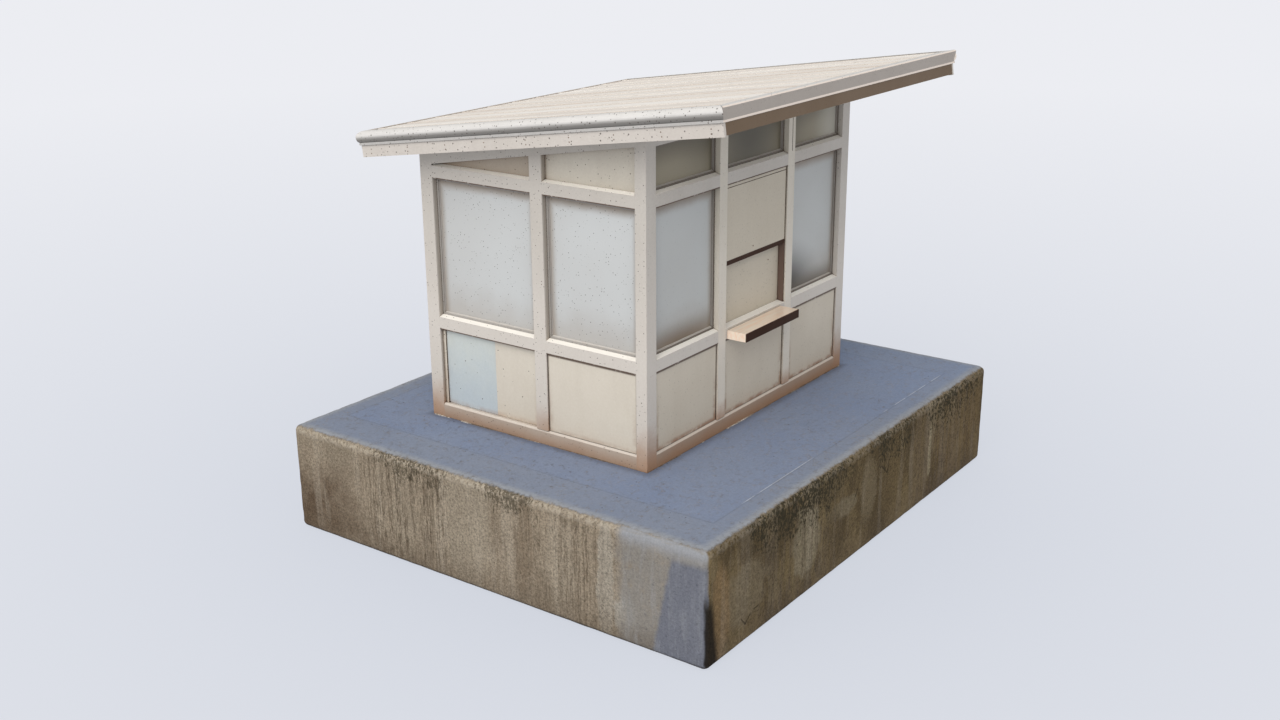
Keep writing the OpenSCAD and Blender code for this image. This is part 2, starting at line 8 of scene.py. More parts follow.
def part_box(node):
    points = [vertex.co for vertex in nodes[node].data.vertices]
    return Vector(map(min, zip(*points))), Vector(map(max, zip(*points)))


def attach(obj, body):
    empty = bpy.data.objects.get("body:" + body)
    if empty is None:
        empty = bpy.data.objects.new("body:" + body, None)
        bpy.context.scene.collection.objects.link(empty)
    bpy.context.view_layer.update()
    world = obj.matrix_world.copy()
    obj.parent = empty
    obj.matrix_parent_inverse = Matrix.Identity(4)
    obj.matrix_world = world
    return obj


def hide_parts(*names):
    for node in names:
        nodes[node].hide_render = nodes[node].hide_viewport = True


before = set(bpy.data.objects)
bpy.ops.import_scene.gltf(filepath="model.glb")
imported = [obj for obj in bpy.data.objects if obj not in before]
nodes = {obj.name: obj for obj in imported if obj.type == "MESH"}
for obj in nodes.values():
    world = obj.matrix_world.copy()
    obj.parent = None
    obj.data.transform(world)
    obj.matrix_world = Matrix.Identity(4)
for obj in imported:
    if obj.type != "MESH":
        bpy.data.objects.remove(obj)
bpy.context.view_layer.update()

print("Frame loaded with", len(nodes), "nodes")


# The corners of a node's separate solids, from its mesh
def solidParts(name):
    mesh = nodes[name].data
    numbers = {}
    marks = [numbers.setdefault(tuple(round(value, 5) for value in v.co), len(numbers)) for v in mesh.vertices]
    leader = list(range(len(numbers)))

    def head(mark):
        while leader[mark] != mark:
            leader[mark] = leader[leader[mark]]
            mark = leader[mark]
        return mark

    for edge in mesh.edges:
        first, second = [head(marks[end]) for end in edge.vertices]
        leader[first] = second
    groups = {}
    for vertex, mark in zip(mesh.vertices, marks):
        groups.setdefault(head(mark), []).append(vertex.co)
    return list(groups.values())


# The boxes of the same solids
def solidBoxes(name):
    boxes = []
    for spots in solidParts(name):
        low = Vector([min(spot[axis] for spot in spots) for axis in range(3)])
        high = Vector([max(spot[axis] for spot in spots) for axis in range(3)])
        boxes.append((low, high))
    return sorted(boxes, key=lambda box: tuple(box[0]))


def bayRanges(name, axis):
    return [(low[axis], high[axis]) for low, high in solidBoxes(name)]


# The range that some corners cover along an axis
def reach(spots, axis):
    return min(spot.dot(axis) for spot in spots), max(spot.dot(axis) for spot in spots)


# The roof's own axes: down its slope towards the back, and square to it upwards
def roofAxes():
    up = -min(nodes["roof_soffit"].data.polygons, key=lambda face: (round(face.normal.z, 2), -face.area)).normal
    return up.cross(Vector((1.0, 0.0, 0.0))).normalized(), up


# A node's output, which sums and products take like a number
class Signal:
    def __init__(self, graph, socket):
        self.graph, self.socket = graph, socket

    def __add__(self, other):
        return self.graph.math("ADD", self, other)

    def __radd__(self, other):
        return self.graph.math("ADD", other, self)

    def __sub__(self, other):
        return self.graph.math("SUBTRACT", self, other)

    def __rsub__(self, other):
        return self.graph.math("SUBTRACT", other, self)

    def __mul__(self, other):
        return self.graph.math("MULTIPLY", self, other)

    def __truediv__(self, other):
        return self.graph.math("DIVIDE", self, other)

    def __abs__(self):
        return self.graph.math("ABSOLUTE", self)


# Node graphs: a small helper that adds nodes and joins them up
class Graph:
    def __init__(self, tree):
        self.tree = tree

    def put(self, socket, value):
        if isinstance(value, Signal):
            self.tree.links.new(value.socket, socket)
        else:
            socket.default_value = (*value, 1.0) if socket.type == "RGBA" else value

    def add(self, kind, inputs=None, **settings):
        made = self.tree.nodes.new(kind)
        for name, value in settings.items():
            setattr(made, name, value)
        for name, value in (inputs or {}).items():
            self.put(made.inputs[name], value)
        return made

    # a new node's outputs, found by their names or their numbers
    def node(self, kind, inputs=None, **settings):
        found = {}
        for number, socket in enumerate(self.add(kind, inputs, **settings).outputs):
            found[number] = found[socket.name] = Signal(self, socket)
        return found

    def group(self, name, inputs):
        return self.node("ShaderNodeGroup", inputs, node_tree=bpy.data.node_groups[name])

    def math(self, operation, first, second=0.0):
        return self.node("ShaderNodeMath", {0: first, 1: second}, operation=operation)[0]

    def larger(self, first, second):
        return self.math("MAXIMUM", first, second)

    def smaller(self, first, second):
        return self.math("MINIMUM", first, second)

    def vector(self, operation, first, second):
        return self.node("ShaderNodeVectorMath", {0: first, 1: second}, operation=operation)

    def stretch(self, vector, factors):
        return self.vector("MULTIPLY", vector, factors)[0]

    def measure(self, operation, first, second):
        return self.vector(operation, first, second)["Value"]

    def join(self, x, y, z=0.0):
        return self.node("ShaderNodeCombineXYZ", {0: x, 1: y, 2: z})[0]

    def split(self, vector):
        made = self.node("ShaderNodeSeparateXYZ", {0: vector})
        return [made[axis] for axis in range(3)]

    def grey(self, level):
        return self.node("ShaderNodeCombineColor", {0: level, 1: level, 2: level})[0]

    def soften(self, value, low, high, shape="SMOOTHSTEP"):
        inputs = {"Value": value, "From Min": low, "From Max": high}
        return self.node("ShaderNodeMapRange", inputs, interpolation_type=shape)[0]

    def ramp(self, value, stops):
        made = self.add("ShaderNodeValToRGB", {0: value})
        band = made.color_ramp.elements
        band[1].position = stops[-1][0]
        for place, level in stops[1:-1]:
            band.new(place)
        for mark, (place, level) in zip(band, stops):
            mark.position = place
            mark.color = (level, level, level, 1.0)
        return Signal(self, made.outputs[0])

    def noise(self, vector, scale, detail=3.0, roughness=0.55):
        inputs = {"Vector": vector, "Scale": scale, "Detail": detail, "Roughness": roughness}
        return self.node("ShaderNodeTexNoise", inputs)["Fac"]

    def mix(self, share, first, second, blend="MIX"):
        return self.node("ShaderNodeMix", {0: share, 6: first, 7: second}, data_type="RGBA", blend_type=blend)[2]

    def place(self):
        return self.node("ShaderNodeTexCoord")["Object"]

    def normal(self):
        return self.node("ShaderNodeNewGeometry")["Normal"]


def newGroup(name, inputs, outputs):
    tree = bpy.data.node_groups.new(name, "ShaderNodeTree")
    for label, kind, value in inputs:
        socket = tree.interface.new_socket(label, in_out="INPUT", socket_type="NodeSocket" + kind)
        if value is not None:
            socket.default_value = value
    for label, kind in outputs:
        tree.interface.new_socket(label, in_out="OUTPUT", socket_type="NodeSocket" + kind)
    graph = Graph(tree)
    return graph, graph.node("NodeGroupInput"), graph.add("NodeGroupOutput").inputs


def newMaterial(name):
    material = bpy.data.materials.new(name)
    material.use_nodes = True
    return material, Graph(material.node_tree), material.node_tree.nodes["Principled BSDF"]


# The look of a surface: its colour and roughness, and a bump given by its strength and depth
def finishSurface(graph, shader, shade, roughness, height, bump):
    strength, depth = bump
    graph.put(shader.inputs["Base Color"], shade)
    graph.put(shader.inputs["Roughness"], roughness)
    relief = graph.node("ShaderNodeBump", {"Height": height, "Strength": strength, "Distance": depth})
    graph.put(shader.inputs["Normal"], relief["Normal"])


# Small dark dots of uneven size, each cell of a pattern holding one or none
def defineSpecks():
    graph, given, made = newGroup(
        "Specks",
        [("Vector", "Vector", None), ("Per metre", "Float", 26.0), ("Share", "Float", 0.4), ("Size", "Float", 0.12)],
        [("Mask", "Float")])
    cells = graph.node("ShaderNodeTexVoronoi", {"Vector": given["Vector"], "Scale": given["Per metre"]})
    chance = graph.split(cells["Color"])
    reach = given["Size"] * chance[1] + 0.05
    dot = graph.math("LESS_THAN", cells["Distance"], reach)
    kept = graph.math("LESS_THAN", chance[0], given["Share"])
    graph.put(made["Mask"], dot * kept)


# Rain streaks: noise drawn out down the wall
def defineStreaks():
    graph, given, made = newGroup(
        "Rain streaks",
        [("Vector", "Vector", None), ("Across", "Float", 20.0), ("Down", "Float", 1.0),
         ("Coverage", "Float", 0.5), ("Softness", "Float", 0.15)],
        [("Mask", "Float")])
    drawn = graph.stretch(given["Vector"], graph.join(given["Across"], given["Across"], given["Down"]))
    pattern = graph.noise(drawn, 1.0, 4.0, 0.6)
    level = 1.0 - given["Coverage"]
    graph.put(made["Mask"], graph.soften(pattern, level - given["Softness"], level + given["Softness"]))


# Grime that gathers in corners and under ledges, with painted shade there: darker where ambient occlusion finds corners
# and hollows
def defineCornerGrimeAndShade():
    graph, given, made = newGroup(
        "Corner grime and shade",
        [("Reach", "Float", 0.1), ("Low", "Float", 0.2), ("High", "Float", 0.7)],
        [("Mask", "Float")])
    corner = graph.node("ShaderNodeAmbientOcclusion", {"Distance": given["Reach"]}, samples=6)
    graph.put(made["Mask"], graph.soften(1.0 - corner["AO"], given["Low"], given["High"]))


# Wear along sharp edges, broken up by noise
def defineEdgeWear():
    graph, given, made = newGroup(
        "Edge wear",
        [("Vector", "Vector", None), ("Radius", "Float", 0.006), ("Break up", "Float", 12.0)],
        [("Mask", "Float")])
    rounded = graph.node("ShaderNodeBevel", {"Radius": given["Radius"]}, samples=4)[0]
    turn = graph.measure("DOT_PRODUCT", rounded, graph.normal())
    edge = graph.soften(1.0 - turn, 0.01, 0.16)
    broken = graph.soften(graph.noise(given["Vector"], given["Break up"], 4.0, 0.65), 0.42, 0.62)
    graph.put(made["Mask"], edge * broken)


# Damp stain that rises from a foot level, with an uneven top
def defineFootStain():
    graph, given, made = newGroup(
        "Foot stain",
        [("Vector", "Vector", None), ("Foot", "Float", 0.0), ("Reach", "Float", 0.3), ("Unevenness", "Float", 0.6)],
        [("Mask", "Float")])
    height = graph.split(given["Vector"])[2]
    rise = (height - given["Foot"]) / given["Reach"]
    rough = (graph.noise(given["Vector"], 5.0, 4.0, 0.6) - 0.5) * given["Unevenness"]
    graph.put(made["Mask"], 1.0 - graph.soften(rise + rough, 0.0, 1.0))


# A soft-edged patch with a ragged outline, placed by its middle and its half sizes
def definePatch():
    graph, given, made = newGroup(
        "Ragged patch",
        [("Along", "Float", 0.0), ("Height", "Float", 0.0), ("At along", "Float", 0.0), ("At height", "Float", 0.0),
         ("Half width", "Float", 1.0), ("Half height", "Float", 1.0), ("Wander", "Float", 0.5),
         ("Softness", "Float", 0.35)],
        [("Mask", "Float")])
    across = (given["Along"] - given["At along"]) / given["Half width"]
    up = (given["Height"] - given["At height"]) / given["Half height"]
    square = across * across + up * up
    away = graph.math("SQRT", square) + given["Wander"]
    rim = 1.15
    graph.put(made["Mask"], graph.soften(away, rim, rim - given["Softness"]))


# A crack: a thin line between two places on a face
def defineCrack():
    graph, given, made = newGroup(
        "Crack",
        [("Along", "Float", 0.0), ("Height", "Float", 0.0), ("From along", "Float", 0.0), ("From height", "Float", 0.0),
         ("To along", "Float", 1.0), ("To height", "Float", 1.0), ("Width", "Float", 0.010)],
        [("Mask", "Float")])
    spot = graph.join(given["Along"], given["Height"])
    start = graph.join(given["From along"], given["From height"])
    end = graph.join(given["To along"], given["To height"])
    offset, line = graph.vector("SUBTRACT", spot, start)[0], graph.vector("SUBTRACT", end, start)[0]
    covered = graph.measure("DOT_PRODUCT", offset, line)
    whole = graph.measure("DOT_PRODUCT", line, line)
    share = graph.soften(covered / whole, 0.0, 1.0, "LINEAR")
    nearest = graph.node("ShaderNodeVectorMath", {0: line, "Scale": share}, operation="SCALE")[0]
    away = graph.measure("DISTANCE", offset, nearest)
    graph.put(made["Mask"], graph.soften(away, given["Width"], given["Width"] * 0.4))


# The masks of three of these groups, placed with a material's own values
def rainStreaks(graph, place, across, down, coverage, softness):
    return graph.group("Rain streaks", {
        "Vector": place, "Across": across, "Down": down, "Coverage": coverage, "Softness": softness})["Mask"]


def darkSpecks(graph, place, perMetre, share, size):
    return graph.group("Specks", {"Vector": place, "Per metre": perMetre, "Share": share, "Size": size})["Mask"]


def cornerGrimeAndShade(graph, reach, low, high):
    return graph.group("Corner grime and shade", {"Reach": reach, "Low": low, "High": high})["Mask"]


# Old paint on timber or board: mottling, corner grime, crevice lines, damp foot, rust, specks and worn edges, with
# painted shade in corners, crevices, reveals, seams, undersides and front faces, and painted light on ledges
paintAge = {
    "mottling": 0.07,
    "smears": 0.05,
    "paleBelow": (0.92, 0.84, 0.76),
    "warmStain": (0.35, 0.165, 0.070),
    "warmth": 0.50,
    "rust": (0.27, 0.125, 0.060),
    "rustAmount": 0.72,
    "crevice": (0.042, 0.026, 0.016),
    "seam": (0.075, 0.038, 0.020),
    "bleachedAndLitLedge": (0.95, 0.91, 0.84),
    "speck": (0.06, 0.045, 0.035),
    "specksPerMetre": 42.0,
    "speckle": 0.10,
    "bump": (0.35, 0.002),
}


def definePaint():
    v = paintAge
    graph, given, made = newGroup(
        "Old paint",
        [("Paint", "Color", None), ("Grime and shading", "Color", None), ("Shade", "Color", None), ("Stain", "Color", None),
         ("Wood", "Color", None), ("Low pale", "Float", 0.0), ("Front shade", "Float", 0.0),
         ("Grime and shade amount", "Float", 0.5), ("Grime and shade reach", "Float", 0.08), ("Crevices", "Float", 0.8),
         ("Stain amount", "Float", 0.8), ("Stain foot", "Float", 0.0), ("Stain reach", "Float", 0.3),
         ("Reveal", "Float", 0.0), ("Seam shadows", "Float", 0.0), ("Rusty edge", "Float", 0.0), ("Wear", "Float", 0.5),
         ("Speck share", "Float", 0.1), ("Speck size", "Float", 0.14),
         ("Ledge bleach and light", "Float", 0.0), ("Underside", "Float", 0.0)],
        [("Color", "Color"), ("Roughness", "Float"), ("Height", "Float")])
    place = graph.place()
    facing = graph.split(graph.normal())
    mottle = graph.soften(graph.noise(place, 2.6, 4.0, 0.6), 0.3, 0.7)
    fine = graph.noise(place, 60.0, 3.0, 0.6)
    shade = graph.mix(mottle * v["mottling"], given["Paint"], given["Grime and shading"])
    smears = rainStreaks(graph, place, 9.0, 1.2, 0.4, 0.2)
    shade = graph.mix(smears * v["smears"], shade, given["Grime and shading"])
    rise = graph.split(place)[2] - given["Stain foot"]
    # Paler towards the foot of the booth
    shade = graph.mix(graph.soften(rise, 1.9, 0.8) * given["Low pale"], shade, v["paleBelow"])
    frontward = graph.soften(facing[1], -0.3, -0.9)
    shade = graph.mix(frontward * given["Front shade"], shade, given["Shade"])
    # Painted shade in the reveals and back bays, and painted light on the hatch lining's sides, from the mask given as
    # Reveal
    shade = graph.mix(given["Reveal"], shade, given["Grime and shading"])
    # Painted shade on faces that turn downwards
    shade = graph.mix(graph.soften(facing[2], 0.25, -0.3) * given["Underside"], shade, given["Grime and shading"])
    foot = graph.group("Foot stain", {
        "Vector": place, "Foot": given["Stain foot"], "Reach": given["Stain reach"]})
    damp = foot["Mask"] * given["Stain amount"]
    shade = graph.mix(damp, shade, given["Stain"])
    shade = graph.mix(damp * frontward * v["warmth"], shade, v["warmStain"])
    # Grime with painted shade in corners and under ledges
    corner = cornerGrimeAndShade(graph, given["Grime and shade reach"], 0.2, 0.95)
    shade = graph.mix(corner * given["Grime and shade amount"], shade, given["Grime and shading"])
    stained = graph.smaller(given["Stain amount"] * 3.0, 1.0)
    rusty = graph.soften(rise, 1.00, 0.10) * stained * graph.soften(corner, 0.05, 0.65)
    rusty = graph.larger(rusty, given["Rusty edge"]) * graph.soften(graph.noise(place, 9.0, 4.0, 0.65), 0.35, 0.58)
    shade = graph.mix(rusty * v["rustAmount"], shade, v["rust"])
    # Painted shade with dirt: near black in narrow crevices, found by ambient occlusion
    crevice = cornerGrimeAndShade(graph, 0.020, 0.30, 0.62)
    shade = graph.mix(crevice * given["Crevices"], shade, v["crevice"])
    # Painted shadow lines at the panels' edges and under the rails, from the mask drawn for them
    broken = graph.soften(graph.noise(place, 16.0, 4.0, 0.7), 0.24, 0.44)
    shade = graph.mix(given["Seam shadows"] * broken, shade, v["seam"])
    # Sun bleaching with a painted highlight: faces that turn upwards made paler
    ledge = graph.soften(facing[2], 0.2, 0.7)
    shade = graph.mix(ledge * given["Ledge bleach and light"], shade, v["bleachedAndLitLedge"])
    worn = graph.group("Edge wear", {"Vector": place})
    chipped = worn["Mask"] * given["Wear"]
    shade = graph.mix(chipped, shade, given["Wood"])
    specks = darkSpecks(graph, place, v["specksPerMetre"], given["Speck share"], given["Speck size"])
    cleaner = 0.85 - frontward * 0.60
    shade = graph.mix(specks * cleaner, shade, v["speck"])
    graph.put(made["Color"], graph.mix(v["speckle"], shade, graph.grey(fine), "OVERLAY"))
    graph.put(made["Roughness"], fine * 0.22 + mottle * 0.10 + 0.38 + corner * 0.2)
    relief = fine * 0.5 + graph.noise(place, 14.0, 3.0, 0.5) * 0.8
    graph.put(made["Height"], relief - chipped * 0.5 - specks * 0.6)


for define in (defineSpecks, defineStreaks, defineCornerGrimeAndShade, defineEdgeWear, defineFootStain, definePatch,
               defineCrack, definePaint):
    define()
print("Shader groups made")


# Measures of the CAD model that the finishes and the added pieces go by
plinthLow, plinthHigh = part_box("plinth")
boothLow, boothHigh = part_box("corner_posts")
groundLevel = plinthHigh.z                    # the booth stands on the plinth's top
windowLow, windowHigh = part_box("left_windows")
transomLow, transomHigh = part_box("front_transom_glass")
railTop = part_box("left_upper_rails")[0].z     # underside of the rail above the windows
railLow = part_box("left_mid_rails")[0].z       # underside of the rail above the lower panels
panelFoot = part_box("left_lower_panels")[0].z  # foot of the lower panels
sidePanes = bayRanges("left_windows", 1)
frontPanes = bayRanges("front_transom_glass", 0)


# How far a surface is turned to face one way or the other along an axis
def turnedTo(graph, axis, low, high):
    return graph.soften(abs(graph.split(graph.normal())[axis]), low, high)


# How deep a place lies inside its bay, for walls that face X and for walls that face Y
def bayDepth(graph, margin):
    x, y = graph.split(graph.place())[:2]
    depths = []
    for along, panes in ((x, frontPanes), (y, sidePanes)):
        deepest = -1.0
        for low, high in panes:
            inner = graph.smaller(along - (low - margin), high + margin - along)
            deepest = graph.larger(inner, deepest)
        depths.append(deepest)
    return graph.mix(turnedTo(graph, 0, 0.4, 0.6), depths[0], depths[1])


# Dark lines at the edges of the lower panels, painted shadow lines of their recesses, the upright ones fainter on the
# side walls
def panelSeamShadows(graph, amount):
    depth = bayDepth(graph, 0.010)
    z = graph.split(graph.place())[2]
    sideways = turnedTo(graph, 0, 0.4, 0.6)
    upright = graph.soften(depth, 0.019, 0.009) * graph.soften(sideways, 2.0, 0.0, "LINEAR")
    return graph.larger(upright, graph.soften(abs(z - railLow), 0.024, 0.011)) * amount


# Rust that creeps in from the low edges of the panels, most on the front
def panelRust(graph, amount):
    z = graph.split(graph.place())[2]
    nearest = graph.smaller(bayDepth(graph, 0.0), z - panelFoot)
    creep = graph.soften(nearest, 0.050, 0.014) * graph.soften(z, panelFoot + 0.50, panelFoot)
    front = graph.soften(graph.split(graph.normal())[1], 0.6, -0.9)
    return creep * front * amount


# Thin dark lines along the lower edges of the rails: painted shadow lines under the rails
def railShadowLines(graph, amount):
    z = graph.split(graph.place())[2]
    lines = 0.0
    for level in (railTop, railLow):
        off = abs(z - (level + 0.002))
        lines = graph.larger(graph.soften(off, 0.0075, 0.003), lines)
    return lines * amount


# The shaded sides of the openings in the two side walls
def revealShade(graph, amount):
    x, y = graph.split(graph.place())[:2]
    insideX = graph.smaller(x - boothLow.x, boothHigh.x - x)
    insideY = graph.smaller(y - boothLow.y, boothHigh.y - y)
    mask = graph.soften(insideX, 0.003, 0.020) * graph.soften(insideY, 0.02, 0.06)
    return mask * turnedTo(graph, 1, 0.3, 0.8) * amount


# Painted light on the sides of the hatch opening, which the sun reaches
def sidewaysLight(graph, amount):
    return turnedTo(graph, 0, 0.4, 0.8) * amount


# The whole depth of the front wall
def frontWallShade(graph, amount):
    y = graph.split(graph.place())[1]
    return graph.soften(y, sidePanes[0][0] + 0.06, sidePanes[0][0] + 0.03) * amount


# The back bays of the side walls
def backBayShade(graph, amount):
    y = graph.split(graph.place())[1]
    return graph.soften(y, sidePanes[0][1], sidePanes[1][0]) * amount


# Painted finishes: one set of colours and amounts each, and masks drawn for some of them
paintSockets = {
    "Paint": "paint", "Grime and shading": "grimeAndShading", "Shade": "shade", "Stain": "stain", "Wood": "wood", "Low pale": "lowPale",
    "Front shade": "frontShade", "Grime and shade amount": "grimeAndShadeAmount", "Grime and shade reach": "grimeAndShadeReach", "Crevices": "crevices",
    "Stain amount": "stainAmount", "Stain reach": "stainReach", "Wear": "wear", "Speck share": "specks",
    "Speck size": "speckSize", "Ledge bleach and light": "ledgeBleachAndLight", "Underside": "underside",
}
drawnMasks = {"Seam shadows": "seams", "Reveal": "reveal", "Rusty edge": "rust", "Front shade": "frontWall"}


def makePaint(name, values):
    material, graph, shader = newMaterial(name)
    inputs = {label: values[key] for label, key in paintSockets.items()}
    inputs["Stain foot"] = groundLevel
    for label, key in drawnMasks.items():
        if values.get(key):
            draw, amount = values[key]
            inputs[label] = draw(graph, amount)
    coat = graph.group("Old paint", inputs)
    finishSurface(graph, shader, coat["Color"], coat["Roughness"], coat["Height"], paintAge["bump"])
    shader.inputs["Specular IOR Level"].default_value = values["specular"]
    return material


timberPaint = {
    "paint": (0.520, 0.484, 0.436),
    "grimeAndShading": (0.20, 0.155, 0.11),
    "shade": (0.30, 0.285, 0.215),
    "stain": (0.36, 0.200, 0.110),
    "wood": (0.30, 0.19, 0.125),
    "lowPale": 0.20,
    "frontShade": 0.0,
    "grimeAndShadeAmount": 0.50,
    "grimeAndShadeReach": 0.09,
    "crevices": 0.9,
    "stainAmount": 0.85,
    "stainReach": 0.40,
    "wear": 0.22,
    "specks": 0.30,
    "speckSize": 0.14,
    "ledgeBleachAndLight": 0.9,
    "underside": 0.0,
    "specular": 0.35,
    "reveal": (revealShade, 0.45),
}
postPaint = dict(timberPaint, paint=(0.640, 0.592, 0.505), stain=(0.35, 0.160, 0.070), stainReach=0.28)
vergePaint = dict(timberPaint, paint=(0.575, 0.530, 0.480), specks=0.45, speckSize=0.22, reveal=None)
railPaint = dict(timberPaint, seams=(railShadowLines, 0.95))
solePaint = dict(
    timberPaint, paint=(0.45, 0.372, 0.305), stain=(0.35, 0.225, 0.148), shade=(0.30, 0.185, 0.105), frontShade=0.45,
    stainAmount=0.85, stainReach=0.13, wear=0.45, ledgeBleachAndLight=0.30, lowPale=0.0)
panelPaint = dict(
    timberPaint, paint=(0.632, 0.578, 0.490), grimeAndShading=(0.25, 0.19, 0.13), shade=(0.42, 0.320, 0.180),
    stain=(0.50, 0.36, 0.24), frontShade=0.15, grimeAndShadeReach=0.07, stainAmount=0.30, stainReach=0.30, specks=0.24,
    speckSize=0.29, ledgeBleachAndLight=0.0, lowPale=0.0, seams=(panelSeamShadows, 0.85), rust=(panelRust, 1.0),
    reveal=None)
hatchPaint = dict(panelPaint, paint=(0.567, 0.520, 0.434), grimeAndShadeAmount=0.6, rust=None)
transomPaint = dict(
    panelPaint, paint=(0.55, 0.51, 0.435), grimeAndShading=(0.20, 0.125, 0.070), grimeAndShadeReach=0.20, grimeAndShadeAmount=0.85,
    stainAmount=0.0, speckSize=0.16, rust=None, reveal=(backBayShade, 0.46))
bluePaint = dict(
    panelPaint, paint=(0.562, 0.591, 0.556), stain=(0.426, 0.493, 0.549), frontShade=0.0, specks=0.12, stainAmount=0.75,
    stainReach=0.95)
# Glazing frames and putty: near black on the front wall and darker in the side walls' reveals, painted shade of the
# recesses
glazingPaint = dict(
    timberPaint, paint=(0.36, 0.340, 0.315), grimeAndShading=(0.10, 0.080, 0.060), shade=(0.105, 0.084, 0.062),
    frontWall=(frontWallShade, 0.82), stainAmount=0.0, ledgeBleachAndLight=0.35, lowPale=0.0, wear=0.35, reveal=(revealShade, 0.2))
brownPaint = dict(
    timberPaint, paint=(0.040, 0.017, 0.009), grimeAndShading=(0.015, 0.008, 0.005), stainAmount=0.0, ledgeBleachAndLight=0.0,
    specks=0.1, wear=0.5, lowPale=0.0, specular=0.08, reveal=None)
# The hatch lining: its sides made lighter, painted light where the sun reaches them
liningPaint = dict(brownPaint, grimeAndShading=(0.165, 0.114, 0.093), grimeAndShadeAmount=0.1, reveal=(sidewaysLight, 0.90))
boardBrown = dict(
    timberPaint, paint=(0.153, 0.103, 0.062), grimeAndShading=(0.045, 0.027, 0.017), stainAmount=0.0, ledgeBleachAndLight=0.0,
    wear=0.4, lowPale=0.0, reveal=None)
soffitPaint = dict(
    timberPaint, paint=(0.60, 0.56, 0.50), grimeAndShadeReach=0.05, stainAmount=0.0, ledgeBleachAndLight=0.0, lowPale=0.0, wear=0.15,
    specks=0.2, reveal=None)
nailIron = dict(
    timberPaint, paint=(0.16, 0.105, 0.070), grimeAndShading=(0.05, 0.03, 0.02), stainAmount=0.0, ledgeBleachAndLight=0.0, lowPale=0.0,
    wear=0.6, specks=0.4, reveal=None)
# Crown mouldings: painted light on their front faces and painted shade on their undersides
crownPaint = dict(
    timberPaint, paint=(0.668, 0.648, 0.622), grimeAndShading=(0.155, 0.145, 0.130), shade=(0.95, 0.79, 0.66), frontShade=0.60,
    underside=0.92, stainAmount=0.0, ledgeBleachAndLight=0.0, wear=0.15, specks=0.8, speckSize=0.20, crevices=0.7, lowPale=0.0,
    reveal=None)


